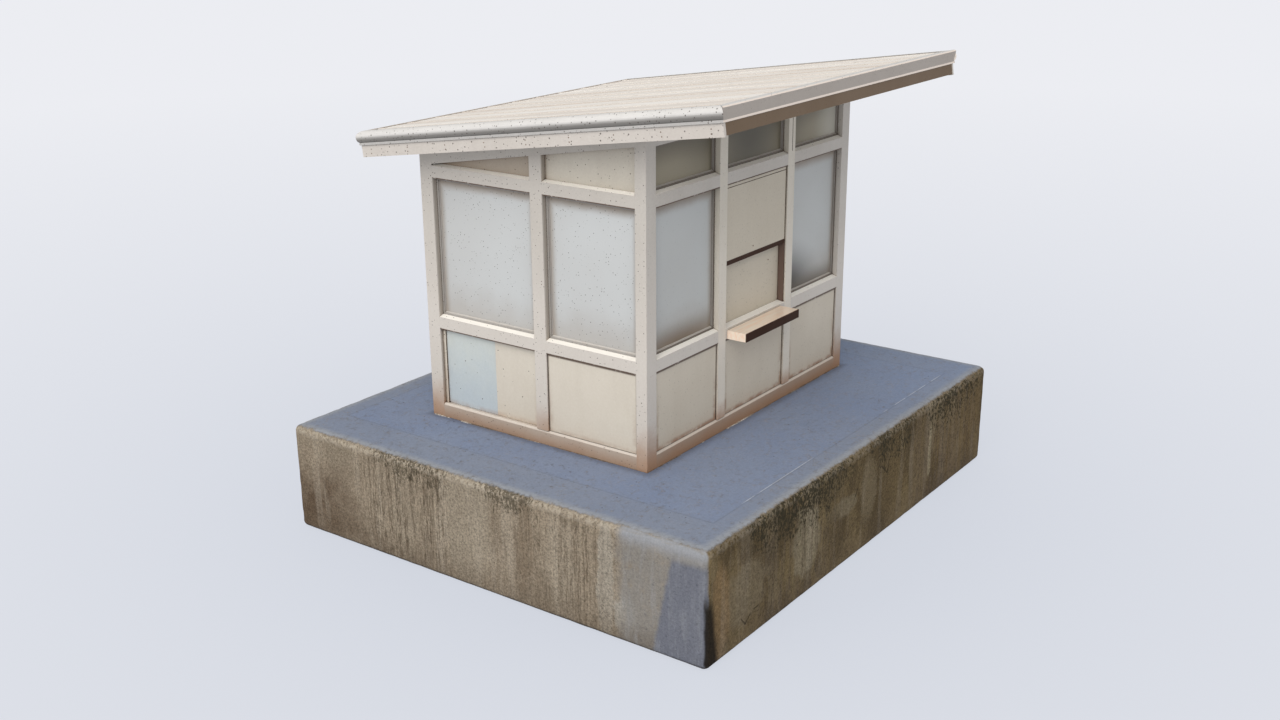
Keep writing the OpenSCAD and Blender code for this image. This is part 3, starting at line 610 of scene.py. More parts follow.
# Concrete of the plinth: weathered sides, worn pale edges and a blue-grey coating on top
concrete = {
    "pale": (0.315, 0.258, 0.188),
    "dark": (0.122, 0.090, 0.060),
    "algae": (0.038, 0.031, 0.016),
    "edge": (0.50, 0.44, 0.35),
    "frontPale": (0.176, 0.128, 0.062),
    "frontDark": (0.088, 0.061, 0.028),
    "coating": (0.199, 0.243, 0.347),
    "coatingRim": (0.209, 0.243, 0.320),
    "coatingRight": (0.225, 0.288, 0.425),
    "coatingWear": (0.32, 0.33, 0.34),
    "patchBlue": (0.150, 0.160, 0.195),
    "patchGrey": (0.238, 0.225, 0.205),
    "mark": (0.060, 0.062, 0.070),
    "cornerFoot": (0.014, 0.010, 0.006),
    "crack": (0.020, 0.015, 0.008),
    "hem": (0.035, 0.028, 0.020),
    "borderLine": (0.08, 0.09, 0.12),
    "scratch": (0.62, 0.64, 0.68),
    "fleck": (0.05, 0.05, 0.07),
    "boothFootShade": (0.075, 0.080, 0.105),
    "specular": 0.15,
    "bump": (0.8, 0.008),
    "amounts": {
        "mottling": 0.45, "streaks": 0.78, "darkStreaks": 0.62, "wash": 0.22, "footDirt": 0.50, "halo": 0.15,
        "drips": 0.34, "pits": 0.55, "grey": 0.82, "greyFoot": 0.45, "blue": 0.90, "wisps": 0.26, "marks": 0.42,
        "cornerFoot": 0.96, "cracks": 0.62, "hem": 0.85, "speckle": 0.68, "rightTint": 0.45, "clouds": 0.16,
        "scuffs": 0.14, "borderLine": 0.20, "scratches": 0.45, "flecks": 0.6, "boothFootShade": 0.50, "rimWear": 0.70,
    },
    "borderX": 0.41,
    "borderY": 0.22,
    "scratchX": ((0.17, 0.0), (0.19, 1.0), (0.38, 1.0), (0.40, 0.0),
                 (0.65, 0.0), (0.67, 1.0), (0.88, 1.0), (0.90, 0.0)),
    "mossLeft": ((0.00, 0.35), (0.08, 0.20), (0.20, 0.40), (0.28, 0.88), (0.40, 0.88), (0.45, 0.15), (0.52, 0.80),
                 (0.57, 1.00), (0.63, 0.75), (0.68, 0.15), (0.76, 0.45), (0.80, 0.10), (1.00, 0.10)),
    "mossFront": ((0.00, 0.15), (0.08, 0.25), (0.14, 0.85), (0.34, 1.00), (0.42, 0.70), (0.50, 0.35), (0.56, 0.85),
                  (0.66, 0.80), (0.70, 0.40), (0.78, 0.90), (0.93, 0.80), (1.00, 0.45)),
    "streaksLeft": ((0.00, 0.10), (0.16, 0.10), (0.22, 0.80), (0.34, 1.00), (0.40, 0.85), (0.43, 0.15), (0.52, 0.15),
                    (0.57, 0.25), (0.63, 0.45), (0.68, 0.45), (0.73, 0.72), (0.76, 0.65), (0.79, 0.10), (1.00, 0.0)),
    "streaksFront": ((0.00, 0.0), (0.12, 0.15), (0.20, 0.80), (0.34, 0.90), (0.40, 0.30), (0.50, 0.10), (0.66, 0.05),
                     (0.70, 0.60), (0.80, 0.95), (1.00, 0.60)),
    "patchesLeft": (((2.05, 0.12), (1.05, 0.62), (0.088, 0.056, 0.033), 0.92, 1.10),
                    ((0.79, 0.40), (0.14, 0.45), (0.320, 0.270, 0.200), 0.35, 0.60),
                    ((-0.76, 0.45), (0.17, 0.45), (0.340, 0.290, 0.220), 0.45, 0.60),
                    ((1.60, 0.86), (0.30, 0.20), (0.24, 0.20, 0.145), 0.50, 0.35),
                    ((0.12, 0.55), (0.24, 0.60), (0.310, 0.265, 0.200), 0.60, 0.35),
                    ((-0.42, 0.55), (0.10, 0.40), (0.17, 0.125, 0.082), 0.50, 0.35),
                    ((-1.17, 0.50), (0.07, 0.55), (0.345, 0.315, 0.262), 0.60, 0.35),
                    ((-1.35, 0.22), (0.10, 0.16), (0.420, 0.390, 0.330), 0.70, 0.35)),
    "patchesFront": (((-1.80, 0.40), (0.30, 0.25), (0.185, 0.146, 0.090), 0.75, 0.45),
                     ((-2.13, 0.34), (0.12, 0.40), (0.230, 0.145, 0.070), 0.55, 0.35),
                     ((-0.95, 0.44), (0.20, 0.30), (0.235, 0.195, 0.125), 0.85, 0.35),
                     ((-0.40, 0.51), (0.22, 0.09), (0.190, 0.152, 0.092), 0.80, 0.35),
                     ((-0.58, 0.76), (0.16, 0.20), (0.068, 0.050, 0.024), 0.55, 0.60),
                     ((-0.52, 0.34), (0.17, 0.30), (0.086, 0.060, 0.028), 0.65, 0.70),
                     ((0.04, 0.50), (0.14, 0.30), (0.190, 0.148, 0.088), 0.65, 0.50),
                     ((0.48, 0.48), (0.26, 0.46), (0.124, 0.087, 0.041), 0.70, 0.45),
                     ((1.00, 0.45), (0.22, 0.50), (0.155, 0.112, 0.060), 0.60, 0.35),
                     ((1.17, 0.45), (0.035, 0.26), (0.28, 0.23, 0.14), 0.90, 0.35),
                     ((1.75, 0.50), (0.50, 0.45), (0.140, 0.094, 0.042), 0.75, 0.35)),
    "greyFrom": -1.27,
    "blueFrom": -1.655,
    "blueLean": 0.20,
    "blueTop": 0.79,
    "cracksFront": (((0.261, 0.629), (0.352, 0.547), (0.380, 0.605)), ((-0.207, 0.518), (-0.150, 0.595)),
                    ((-1.857, 0.215), (-1.804, 0.154), (-1.744, 0.203)), ((-1.693, 0.226), (-1.631, 0.228))),
}


def concretePatches(graph, shade, along, height, wander, facing, patches):
    for (atAlong, atHeight), (wide, high), colour, amount, softness in patches:
        patch = graph.group("Ragged patch", {
            "Along": along, "Height": height, "At along": atAlong, "At height": atHeight,
            "Half width": wide, "Half height": high, "Wander": wander, "Softness": softness})
        shade = graph.mix(patch["Mask"] * facing * amount, shade, colour)
    return shade


def makeConcrete():
    v = concrete
    amounts = v["amounts"]
    material, graph, shader = newMaterial("concrete")
    place = graph.place()
    x, y, z = graph.split(place)
    normal = graph.split(graph.normal())
    leftward = graph.soften(normal[0], -0.35, -0.8)
    frontward = graph.soften(normal[1], -0.35, -0.8)
    endward = graph.soften(abs(normal[1]), 0.35, 0.8)
    alongLeft = graph.soften(y, plinthHigh.y, plinthLow.y, "LINEAR")
    alongFront = graph.soften(x, plinthLow.x, plinthHigh.x, "LINEAR")
    drop = groundLevel - z
    grain = graph.noise(place, 190.0, 3.0, 0.7)
    grit = graph.noise(place, 58.0, 5.0, 0.78)
    wander = (graph.noise(place, 5.0, 6.0, 0.72) - 0.5) * 1.5

    # Sides: mottled, placed patches, browner at the foot, streaked in bands
    mottle = graph.soften(graph.noise(place, 2.2, 5.0, 0.6), 0.3, 0.7)
    shade = graph.mix(mottle * amounts["mottling"], v["pale"], v["dark"])
    # The front face takes darker colours: more weathered in part, and painted shade in part
    patches = graph.noise(graph.stretch(place, (1.0, 1.0, 0.55)), 1.9, 6.0, 0.65)
    frontShade = graph.mix(graph.soften(patches, 0.40, 0.58), v["frontPale"], v["frontDark"])
    shade = graph.mix(frontward, shade, frontShade)
    shade = concretePatches(graph, shade, y, z, wander, leftward, v["patchesLeft"])
    shade = concretePatches(graph, shade, x, z, wander, frontward, v["patchesFront"])
    lean = graph.soften(graph.noise(graph.stretch(place, (6.0, 6.0, 0.6)), 1.0, 4.0, 0.6), 0.50, 0.66)
    pale = 0.26 - frontward * 0.14
    shade = graph.mix(lean * pale, shade, v["edge"])
    elsewhere = graph.soften(graph.noise(graph.stretch(place, (1.3, 1.3, 0.1)), 1.0, 2.0, 0.5), 0.42, 0.6)
    bands = graph.mix(leftward, elsewhere, graph.ramp(alongLeft, v["streaksLeft"]))
    bands = graph.mix(frontward, bands, graph.ramp(alongFront, v["streaksFront"]))
    dashes = rainStreaks(graph, place, 74.0, 8.0, 0.48, 0.035)
    long = rainStreaks(graph, place, 30.0, 1.0, 0.52, 0.10)
    streak = dashes * long * bands
    shade = graph.mix(streak * amounts["streaks"], shade, v["dark"])
    deep = streak * graph.soften(graph.noise(place, 24.0, 3.0, 0.6), 0.50, 0.60)
    shade = graph.mix(deep * amounts["darkStreaks"], shade, v["algae"])
    shade = graph.mix(long * bands * amounts["wash"], shade, v["dark"])
    low = graph.soften(z + wander * 0.10, 0.34, 0.0)
    shade = graph.mix(low * (amounts["footDirt"] - frontward * 0.20), shade, v["dark"])

    # Moss below the top edge, with drips
    amount = graph.mix(endward, graph.ramp(alongLeft, v["mossLeft"]), graph.ramp(alongFront, v["mossFront"]))
    deepest = 0.24 + frontward * 0.26
    reach = amount * deepest + 0.05
    upper = graph.soften(drop / reach, 1.3, 0.15)
    level = 0.66 - upper * amount * 0.20
    blobs = graph.noise(graph.stretch(place, (1.0, 1.0, 0.62)), 52.0, 5.0, 0.72)
    broad = graph.noise(graph.stretch(place, (1.0, 1.0, 0.6)), 9.0, 4.0, 0.62)
    blobs = blobs * 0.78 + broad * 0.22
    moss = graph.soften(blobs, level, level + 0.022)
    moss = moss * graph.soften(upper * amount, 0.04, 0.25)
    cover = 0.60 + frontward * 0.38
    shade = graph.mix(moss * cover, shade, v["algae"])
    halo = graph.soften(blobs, level - 0.09, level) * (upper * amount)
    shade = graph.mix(halo * amounts["halo"], shade, v["algae"])
    drips = rainStreaks(graph, place, 17.0, 0.9, 0.34, 0.05)
    drips = drips * amount * graph.soften(drop, 0.85, 0.1)
    shade = graph.mix(drips * amounts["drips"], shade, v["algae"])
    pits = darkSpecks(graph, place, 55.0, 0.6, 0.2)
    shade = graph.mix(pits * amounts["pits"], shade, v["algae"])

    # Beside the near corner a grey run, then a blue-grey one of the coating
    fromGrey = y + wander * 0.10
    grey = graph.soften(fromGrey, v["greyFrom"] + 0.04, v["greyFrom"] - 0.09) * leftward
    greys = grey * graph.soften(graph.noise(place, 7.0, 5.0, 0.7), 0.20, 0.50)
    shade = graph.mix(greys * amounts["grey"], shade, v["patchGrey"])
    greyFoot = graph.soften(z, 0.24, 0.03) * grey
    shade = graph.mix(greyFoot * amounts["greyFoot"], shade, v["dark"])
    lean = (z - groundLevel / 2.0) * v["blueLean"]
    fromBlue = y + lean + wander * 0.045
    blue = graph.soften(fromBlue, v["blueFrom"] + 0.01, v["blueFrom"] - 0.03) * leftward
    fromTop = z + wander * 0.06
    blue = blue * graph.soften(fromTop, v["blueTop"] + 0.03, v["blueTop"] - 0.04)
    shade = graph.mix(blue * amounts["blue"], shade, v["patchBlue"])
    wisps = rainStreaks(graph, place, 22.0, 3.5, 0.42, 0.12)
    shade = graph.mix(wisps * grey * amounts["wisps"], shade, v["coatingWear"])
    marks = graph.soften(graph.noise(place, 30.0, 5.0, 0.75), 0.585, 0.64)
    shade = graph.mix(marks * grey * amounts["marks"], shade, v["mark"])

    # Black foot of the near corner and the dark line along the ground
    fromCorner = x - plinthLow.x + wander * 0.020 + z * 0.13
    corner = graph.soften(fromCorner, 0.180, 0.105) * graph.soften(normal[1], -0.40, -0.72)
    corner = corner * graph.soften(fromTop, 0.62, 0.45)
    shade = graph.mix(corner * amounts["cornerFoot"], shade, v["cornerFoot"])
    for line in v["cracksFront"]:
        for (fromAlong, fromHeight), (toAlong, toHeight) in zip(line, line[1:]):
            crack = graph.group("Crack", {
                "Along": x + wander * 0.012, "Height": z,
                "From along": fromAlong, "From height": fromHeight, "To along": toAlong, "To height": toHeight})
            shade = graph.mix(crack["Mask"] * frontward * amounts["cracks"], shade, v["crack"])
    hem = graph.soften(z + wander * 0.02, 0.045, 0.014)
    shade = graph.mix(hem * amounts["hem"], shade, v["hem"])
    sides = 1.0 - grey * 0.6
    grit = graph.soften(grit, 0.24, 0.76, "LINEAR")
    speckle = graph.grey(grit)
    shade = graph.mix(sides * amounts["speckle"], shade, speckle, "OVERLAY")

    # The coating on top: a paler worn rim, a darker field inside an inset border, painted shade round the booth's foot,
    # and a bare pale arris
    ragged = (graph.noise(place, 26.0, 5.0, 0.72) - 0.5) * 0.035
    below = drop + ragged
    edgeX = plinthHigh.x - abs(x)
    edgeY = plinthHigh.y - abs(y)
    inset = graph.smaller(edgeX, edgeY)
    bordered = graph.smaller(edgeX - v["borderX"], edgeY - v["borderY"])
    cloud = graph.soften(graph.noise(place, 1.4, 5.0, 0.62), 0.3, 0.7)
    field = graph.soften(bordered, -0.03, 0.04)
    coat = graph.mix(field, v["coatingRim"], v["coating"])
    coat = graph.mix(graph.soften(x, 0.0, 2.2) * amounts["rightTint"], coat, v["coatingRight"])
    coat = graph.mix(cloud * amounts["clouds"], coat, v["coatingWear"])
    scuffed = graph.soften(graph.noise(graph.stretch(place, (3.0, 0.7, 1.0)), 14.0, 5.0, 0.7), 0.60, 0.72)
    coat = graph.mix(scuffed * amounts["scuffs"], coat, v["coatingWear"])
    line = graph.soften(abs(bordered), 0.010, 0.003)
    coat = graph.mix(line * amounts["borderLine"], coat, v["borderLine"])
    scratch = y - plinthLow.y - (v["borderY"] + 0.01)
    scratch = graph.soften(abs(scratch), 0.006, 0.002) * graph.ramp(alongFront, v["scratchX"])
    scratch = scratch * graph.soften(graph.noise(place, 7.0, 3.0, 0.6), 0.38, 0.52)
    coat = graph.mix(scratch * amounts["scratches"], coat, v["scratch"])
    flecks = darkSpecks(graph, place, 14.0, 0.30, 0.06)
    coat = graph.mix(flecks * amounts["flecks"], coat, v["fleck"])
    # Painted shade on the coating round the booth's foot
    footX = graph.larger(boothLow.x - x, x - boothHigh.x)
    footY = graph.larger(boothLow.y - y, y - boothHigh.y)
    fromBooth = graph.larger(footX, footY) + wander * 0.02
    coat = graph.mix(graph.soften(fromBooth, 0.09, 0.0) * amounts["boothFootShade"], coat, v["boothFootShade"])
    faded = inset + ragged * 2.5
    coat = graph.mix(graph.soften(faded, 0.12, 0.04) * amounts["rimWear"], coat, v["coatingWear"])
    coat = graph.mix(0.15, coat, speckle, "OVERLAY")
    arris = graph.soften(below, 0.004, 0.020) * graph.soften(below, 0.085, 0.030)
    arris = arris * graph.soften(graph.noise(place, 34.0, 5.0, 0.75), 0.38, 0.58)
    arris = arris * (1.0 - graph.larger(moss * 0.8, grey))
    shade = graph.mix(arris * (leftward * 0.42 + 0.26), shade, v["edge"])
    over = grey * 0.75 * graph.soften(below, 0.150, 0.020)
    coated = graph.larger(graph.soften(below, 0.016, 0.000), over)
    shade = graph.mix(coated, shade, coat)
    roughness = graph.soften(grain, -0.6, 0.6)
    relief = grain * 0.35 + streak * -0.5 + grit * 0.9 + graph.noise(place, 18.0, 4.0, 0.6) * 1.2 - pits
    flat = 1.0 - coated * 0.85
    finishSurface(graph, shader, shade, roughness, relief * flat, v["bump"])
    shader.inputs["Specular IOR Level"].default_value = v["specular"]
    return material


# Glass: frosted panes that brown and darken towards their edges, with dirt and painted shade, darker transom lights,
# and painted shadows and light on the front lights
frostedGlass = {
    "film": (0.588, 0.602, 0.596),
    "front": (0.535, 0.550, 0.537),
    "dirt": (0.30, 0.235, 0.175),
    "low": windowLow.z,
    "high": windowHigh.z,
    "sillReach": 0.34,
    "sillAmount": 0.34,
    "topReach": 0.100,
    "topAmount": 0.85,
    "sideReach": 0.075,
    "sideAmount": 0.62,
    "cornerReach": 0.10,
    "cornerAmount": 0.35,
    # Painted shadows on the front panes
    "paintedShadowsAndLight": (("front_windows", 1, (0.03, 0.03), (0.60, 0.46), (0.036, 0.028, 0.018), 1.0),
              ("front_windows", 1, (0.60, 0.00), (0.95, 0.17), (0.110, 0.085, 0.058), 0.80),
              ("front_windows", 0, (0.45, 0.00), (1.10, 0.22), (0.175, 0.120, 0.072), 0.95)),
    "transmission": 0.10,
    "speck": (0.05, 0.036, 0.026),
    "specksPerMetre": 46.0,
    "speckShare": 0.50,
    "speckSize": 0.13,
    "ior": 1.45,
    "bump": (0.15, 0.0006),
}
# Smoked transom lights, darker at the top and in the corners: painted shade under the roof
smokedGlass = dict(
    frostedGlass, film=(0.300, 0.262, 0.182), front=(0.300, 0.262, 0.182), dirt=(0.065, 0.052, 0.034),
    low=transomLow.z, high=transomHigh.z, sillReach=0.02, sillAmount=0.2, topReach=0.20, topAmount=0.55,
    cornerReach=0.25, cornerAmount=0.75,
    # Painted shadows on the transoms, the last one a patch of painted light
    paintedShadowsAndLight=(("front_transom_glass", 0, (0.95, 0.85), (0.55, 0.35), (0.095, 0.082, 0.052), 0.6),
           ("front_transom_glass", 1, (0.45, 0.60), (0.80, 0.65), (0.085, 0.074, 0.048), 1.0),
           ("front_transom_glass", 2, (0.00, 0.75), (0.40, 0.45), (0.085, 0.074, 0.048), 0.6),
           ("front_transom_glass", 2, (1.00, 0.20), (0.44, 0.55), (0.50, 0.48, 0.41), 1.0)))


def makeGlass(name, values):
    material, graph, shader = newMaterial(name)
    place = graph.place()
    x, _, z = graph.split(place)
    facing = graph.split(graph.normal())
    front = graph.soften(facing[1], -0.3, -0.9)
    # The dirt colour, which also paints the shade of the frames at the panes' edges
    dirt = values["dirt"]
    # Panes that face the front take a darker colour: painted shade
    shade = graph.mix(front, values["film"], values["front"])
    cloud = graph.soften(graph.noise(place, 1.6, 3.0, 0.5), 0.25, 0.75)
    shade = graph.mix(cloud * 0.10, shade, dirt)
    # Painted shade with dirt: darker towards the corners, the top and the sides of each pane
    corner = cornerGrimeAndShade(graph, values["cornerReach"], 0.12, 0.80)
    shade = graph.mix(corner * values["cornerAmount"], shade, dirt)
    wander = (graph.noise(place, 8.0, 4.0, 0.6) - 0.5) * 0.03
    fromTop = values["high"] - z + wander
    top = graph.soften(fromTop, values["topReach"], 0.008) * values["topAmount"]
    fromSide = bayDepth(graph, 0.0) + wander
    side = graph.soften(fromSide, values["sideReach"], 0.004) * values["sideAmount"]
    shade = graph.mix(graph.larger(top, side), shade, dirt)
    foot = graph.group("Foot stain", {
        "Vector": place, "Foot": values["low"], "Reach": values["sillReach"], "Unevenness": 0.7})
    shade = graph.mix(foot["Mask"] * values["sillAmount"], shade, dirt)
    # Painted shadows on the front panes and transoms, and one patch of painted light on a transom
    for panes, bay, (across, up), (wide, tall), colour, amount in values["paintedShadowsAndLight"]:
        low, high = solidBoxes(panes)[bay]
        offX = (x - (low.x + (high.x - low.x) * across)) / wide
        offZ = (z - (low.z + (high.z - low.z) * up)) / tall
        square = offX * offX + offZ * offZ
        paintedPatch = graph.soften(graph.math("SQRT", square), 1.0, 0.0)
        inPane = graph.math("GREATER_THAN", x, low.x) * graph.math("LESS_THAN", x, high.x)
        paintedPatch = paintedPatch * inPane * (front * amount)
        shade = graph.mix(paintedPatch, shade, colour)
    specks = darkSpecks(graph, place, values["specksPerMetre"], values["speckShare"], values["speckSize"])
    cleaner = 0.85 - front * 0.65
    shade = graph.mix(specks * cleaner, shade, values["speck"])
    film = graph.noise(place, 240.0, 2.0, 0.5)
    finishSurface(graph, shader, shade, film * 0.2 + 0.35, film, values["bump"])
    shader.inputs["Transmission Weight"].default_value = values["transmission"]
    shader.inputs["IOR"].default_value = values["ior"]
    return material


# Roof covering: painted sheet, dirty in lines down the slope
roofSheet = {
    "paint": (0.80, 0.745, 0.680),
    "line": (0.60, 0.50, 0.42),
    "pale": (0.87, 0.83, 0.775),
    "speck": (0.12, 0.09, 0.07),
    "corner": (0.14, 0.11, 0.09),
    "bump": (0.3, 0.002),
}


def makeRoof():
    v = roofSheet
    material, graph, shader = newMaterial("roof_sheet")
    place = graph.place()
    drawn = graph.stretch(place, (12.0, 0.40, 0.40))
    lines = graph.soften(graph.noise(drawn, 1.0, 3.0, 0.62), 0.46, 0.64)
    broad = graph.soften(graph.noise(graph.stretch(place, (5.0, 0.35, 0.35)), 1.0, 2.0, 0.5), 0.35, 0.7)
    shade = graph.mix(broad, v["paint"], v["pale"])
    shade = graph.mix(lines * 0.4, shade, v["line"])
    specks = darkSpecks(graph, place, 26.0, 0.25, 0.12)
    shade = graph.mix(specks * 0.5, shade, v["speck"])
    # Painted shade: a dark line in the corners where the covering meets the crowns
    corner = cornerGrimeAndShade(graph, 0.03, 0.2, 0.9)
    shade = graph.mix(corner * 0.8, shade, v["corner"])
    fine = graph.noise(place, 90.0, 3.0, 0.6)
    finishSurface(graph, shader, shade, fine * 0.3 + 0.5, lines * 0.6 + fine * 0.4, v["bump"])
    return material


# Bare timbers: the scrubbed counter top and the sawn timber inside
counterWood = {
    "pale": (1.00, 0.86, 0.71),
    "dark": (1.00, 0.71, 0.51),
    "dirt": (0.86, 0.60, 0.42),
    "grain": (6.0, 90.0, 40.0),
    "varnish": 0.9,
    "varnishRoughness": 0.12,
    "bump": (0.3, 0.0006),
}
sawnWood = dict(
    counterWood, pale=(0.45, 0.34, 0.23), dark=(0.26, 0.17, 0.10), dirt=(0.12, 0.08, 0.05), grain=(8.0, 60.0, 60.0),
    varnish=0.0, varnishRoughness=0.3)


def makeWood(name, values):
    material, graph, shader = newMaterial(name)
    place = graph.place()
    drawn = graph.stretch(place, values["grain"])
    rings = graph.noise(drawn, 0.5, 4.0, 0.65)
    shade = graph.mix(graph.soften(rings, 0.35, 0.75), values["pale"], values["dark"])
    worn = graph.soften(graph.noise(place, 6.0, 3.0, 0.5), 0.35, 0.7)
    shade = graph.mix(worn * 0.45, shade, values["pale"])
    # Dirt with painted shade, darker in corners
    corner = cornerGrimeAndShade(graph, 0.05, 0.2, 0.9)
    shade = graph.mix(corner * 0.5, shade, values["dirt"])
    finishSurface(graph, shader, shade, rings * 0.3 + 0.45, rings, values["bump"])
    shader.inputs["Coat Weight"].default_value = values["varnish"]
    shader.inputs["Coat Roughness"].default_value = values["varnishRoughness"]
    return material


# Old mortar, pale and crumbly
mortar = {
    "pale": (0.62, 0.58, 0.52),
    "dark": (0.20, 0.16, 0.12),
    "dirt": (0.085, 0.055, 0.035),
    "speck": (0.08, 0.06, 0.04),
    "bump": (0.6, 0.003),
}


def makeMortar():
    v = mortar
    material, graph, shader = newMaterial("mortar")
    place = graph.place()
    crumbs = graph.noise(place, 70.0, 5.0, 0.75)
    shade = graph.mix(graph.soften(crumbs, 0.40, 0.62), v["dark"], v["pale"])
    dirty = graph.soften(graph.noise(place, 1.3, 3.0, 0.6), 0.44, 0.54)
    shade = graph.mix(dirty * 0.85, shade, v["dirt"])
    specks = darkSpecks(graph, place, 70.0, 0.5, 0.2)
    shade = graph.mix(specks * 0.7, shade, v["speck"])
    finishSurface(graph, shader, shade, graph.soften(crumbs, -1.2, 0.8), crumbs, v["bump"])
    return material


# Brushed steel of the door's lever and hinges
steel = {
    "dark": (0.50, 0.50, 0.50),
    "light": (0.66, 0.66, 0.65),
    "brushed": (20.0, 400.0, 400.0),
    "bump": (0.1, 0.0003),
}


def makeSteel():
    v = steel
    material, graph, shader = newMaterial("handle_steel")
    place = graph.place()
    brushed = graph.noise(graph.stretch(place, v["brushed"]), 1.0, 3.0, 0.6)
    shade = graph.mix(brushed, v["dark"], v["light"])
    finishSurface(graph, shader, shade, brushed * 0.25 + 0.25, brushed, v["bump"])
    shader.inputs["Metallic"].default_value = 1.0
    return material


paints = {
    "cream_timber": timberPaint, "rail_timber": railPaint, "post_timber": postPaint, "verge_paint": vergePaint,
    "glazing_paint": glazingPaint, "hatch_paint": hatchPaint, "transom_paint": transomPaint, "sole_timber": solePaint,
    "crown_paint": crownPaint, "panel_paint": panelPaint, "blue_paint": bluePaint, "brown_paint": brownPaint,
    "lining_paint": liningPaint, "brown_timber": boardBrown, "soffit_paint": soffitPaint, "nail_iron": nailIron,
}
finishes = {name: makePaint(name, values) for name, values in paints.items()}
finishes.update(
    concrete=makeConcrete(), counter_wood=makeWood("counter_wood", counterWood),
    bare_timber=makeWood("bare_timber", sawnWood), roof_sheet=makeRoof(),
    frosted_glass=makeGlass("frosted_glass", frostedGlass), smoked_glass=makeGlass("smoked_glass", smokedGlass),
    mortar=makeMortar(), handle_steel=makeSteel())
print("Finishes made:", len(finishes))


# Dress the CAD nodes: their finish, and softened edges
edges = {"width": 0.003, "segments": 2, "angle": 35.0}
sharpNodes = {"plinth", "roof_covering", "door_handle", "verge_crowns", "eaves_crowns"}
otherFinish = {
    "glazing_frames": "glazing_paint", "front_posts": "post_timber", "hatch_frame": "lining_paint",
    "verge_boards": "verge_paint", "sole_plates": "sole_timber", "verge_crowns": "crown_paint",
    "eaves_crowns": "crown_paint", "side_transom_panels": "transom_paint", "hatch_upper_panel": "hatch_paint",
    "hatch_shutter": "hatch_paint",
}
for wall in ("front", "back", "left", "right"):
    otherFinish[wall + "_mid_rails"] = otherFinish[wall + "_upper_rails"] = "rail_timber"


def softenEdges(piece):
    bevel = piece.modifiers.new("Soft edges", "BEVEL")
    bevel.width = edges["width"]
    bevel.segments = edges["segments"]
    bevel.limit_method = "ANGLE"
    bevel.angle_limit = math.radians(edges["angle"])
    bevel.harden_normals = True


for name, node in nodes.items():
    slot = otherFinish.get(name, node.data.materials[0].name)
    node.material_slots[0].material = finishes[slot]
    if name not in sharpNodes:
        softenEdges(node)
print("CAD nodes dressed")


# Added pieces are plain meshes, which ride on the kiosk
def addPiece(name, corners, faces, finish, smooth=False):
    mesh = bpy.data.meshes.new(name)
    mesh.from_pydata(corners, [], faces)
    work = bmesh.new()
    work.from_mesh(mesh)
    bmesh.ops.recalc_face_normals(work, faces=work.faces)
    work.to_mesh(mesh)
    work.free()
    mesh.materials.append(finishes[finish])
    mesh.shade_smooth() if smooth else mesh.shade_flat()
    piece = bpy.data.objects.new(name, mesh)
    bpy.context.scene.collection.objects.link(piece)
    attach(piece, "root")
    return piece


# Several closed forms gathered into one mesh
class Gathered:
    def __init__(self):
        self.corners, self.faces = [], []

    def add(self, corners, faces):
        start = len(self.corners)
        self.corners += corners
        self.faces += [tuple(start + mark for mark in face) for face in faces]

    # rings of equal length joined one to the next, closed round or capped at both ends
    def addRings(self, rings, closed):
        count, size = len(rings), len(rings[0])
        faces = []
        for i in range(count if closed else count - 1):
            here, there = i * size, (i + 1) % count * size
            for j in range(size):
                other = (j + 1) % size
                faces.append((here + j, here + other, there + other, there + j))
        if not closed:
            faces.append(tuple(range(size)))
            faces.append(tuple((count - 1) * size + j for j in range(size)))
        self.add([corner for ring in rings for corner in ring], faces)

    # a turned form: (radius, height) pairs round an axis, with its radii in units of size
    def addTurned(self, centre, axis, profile, count, size=1.0):
        first = axis.orthogonal().normalized()
        second = axis.cross(first)
        rings = []
        for radius, height in profile:
            ring = []
            for i in range(count):
                angle = math.tau * i / count
                outward = first * math.cos(angle) + second * math.sin(angle)
                ring.append(centre + axis * height + outward * (radius * size))
            rings.append(ring)
        self.addRings(rings, False)


lacunarity, octaves = 2.0, 4                 # of the uneven forms' noise


# Plinth skin: a rounded box whose edges are chipped and whose faces are slightly uneven, all inwards
plinthSkin = {
    "radius": 0.055,
    "arcAngles": (0.0, 11.25, 22.5, 33.75, 45.0),
    "step": 0.035,
    "sideDip": 0.003,
    "topDip": 0.0012,
    "wavesPerMetre": 7.0,
    "chip": 0.008,
    "chipsPerMetre": 16.0,
    "chipShift": (3.1, 7.7, 1.3),
    "chipFrom": 0.05,
    "fullTurn": 0.25,
    "quietMargin": 0.10,
}


def axisStops(half):
    v = plinthSkin
    inner = half - v["radius"]
    count = round(2.0 * inner / v["step"])
    middle = [inner * (2.0 * i / count - 1.0) for i in range(1, count)]
    ends = [inner + v["radius"] * math.tan(math.radians(angle)) for angle in v["arcAngles"]]
    return [-end for end in reversed(ends)] + middle + ends


def plinthDip(point, outward):
    v = plinthSkin
    if outward.z < -0.99:
        return 0.0
    rough = 0.5 + 0.5 * noise.fractal(point * v["wavesPerMetre"], 0.9, lacunarity, octaves)
    topness = max(0.0, outward.z)
    dip = (v["sideDip"] + (v["topDip"] - v["sideDip"]) * topness) * min(1.0, max(0.0, rough))
    turn = 1.0 - max(abs(outward.x), abs(outward.y), abs(outward.z))
    chipSpot = point * v["chipsPerMetre"] + Vector(v["chipShift"])
    chip = max(0.0, noise.fractal(chipSpot, 0.8, lacunarity, octaves) - v["chipFrom"])
    if outward.z >= 0.0:
        dip += v["chip"] * min(1.0, turn / v["fullTurn"]) * min(1.0, chip * 2.0)
    awayX = max(boothLow.x - point.x, point.x - boothHigh.x, 0.0)
    awayY = max(boothLow.y - point.y, point.y - boothHigh.y, 0.0)
    if outward.z > 0.9:
        dip *= min(1.0, max(awayX, awayY) / v["quietMargin"])
    return dip


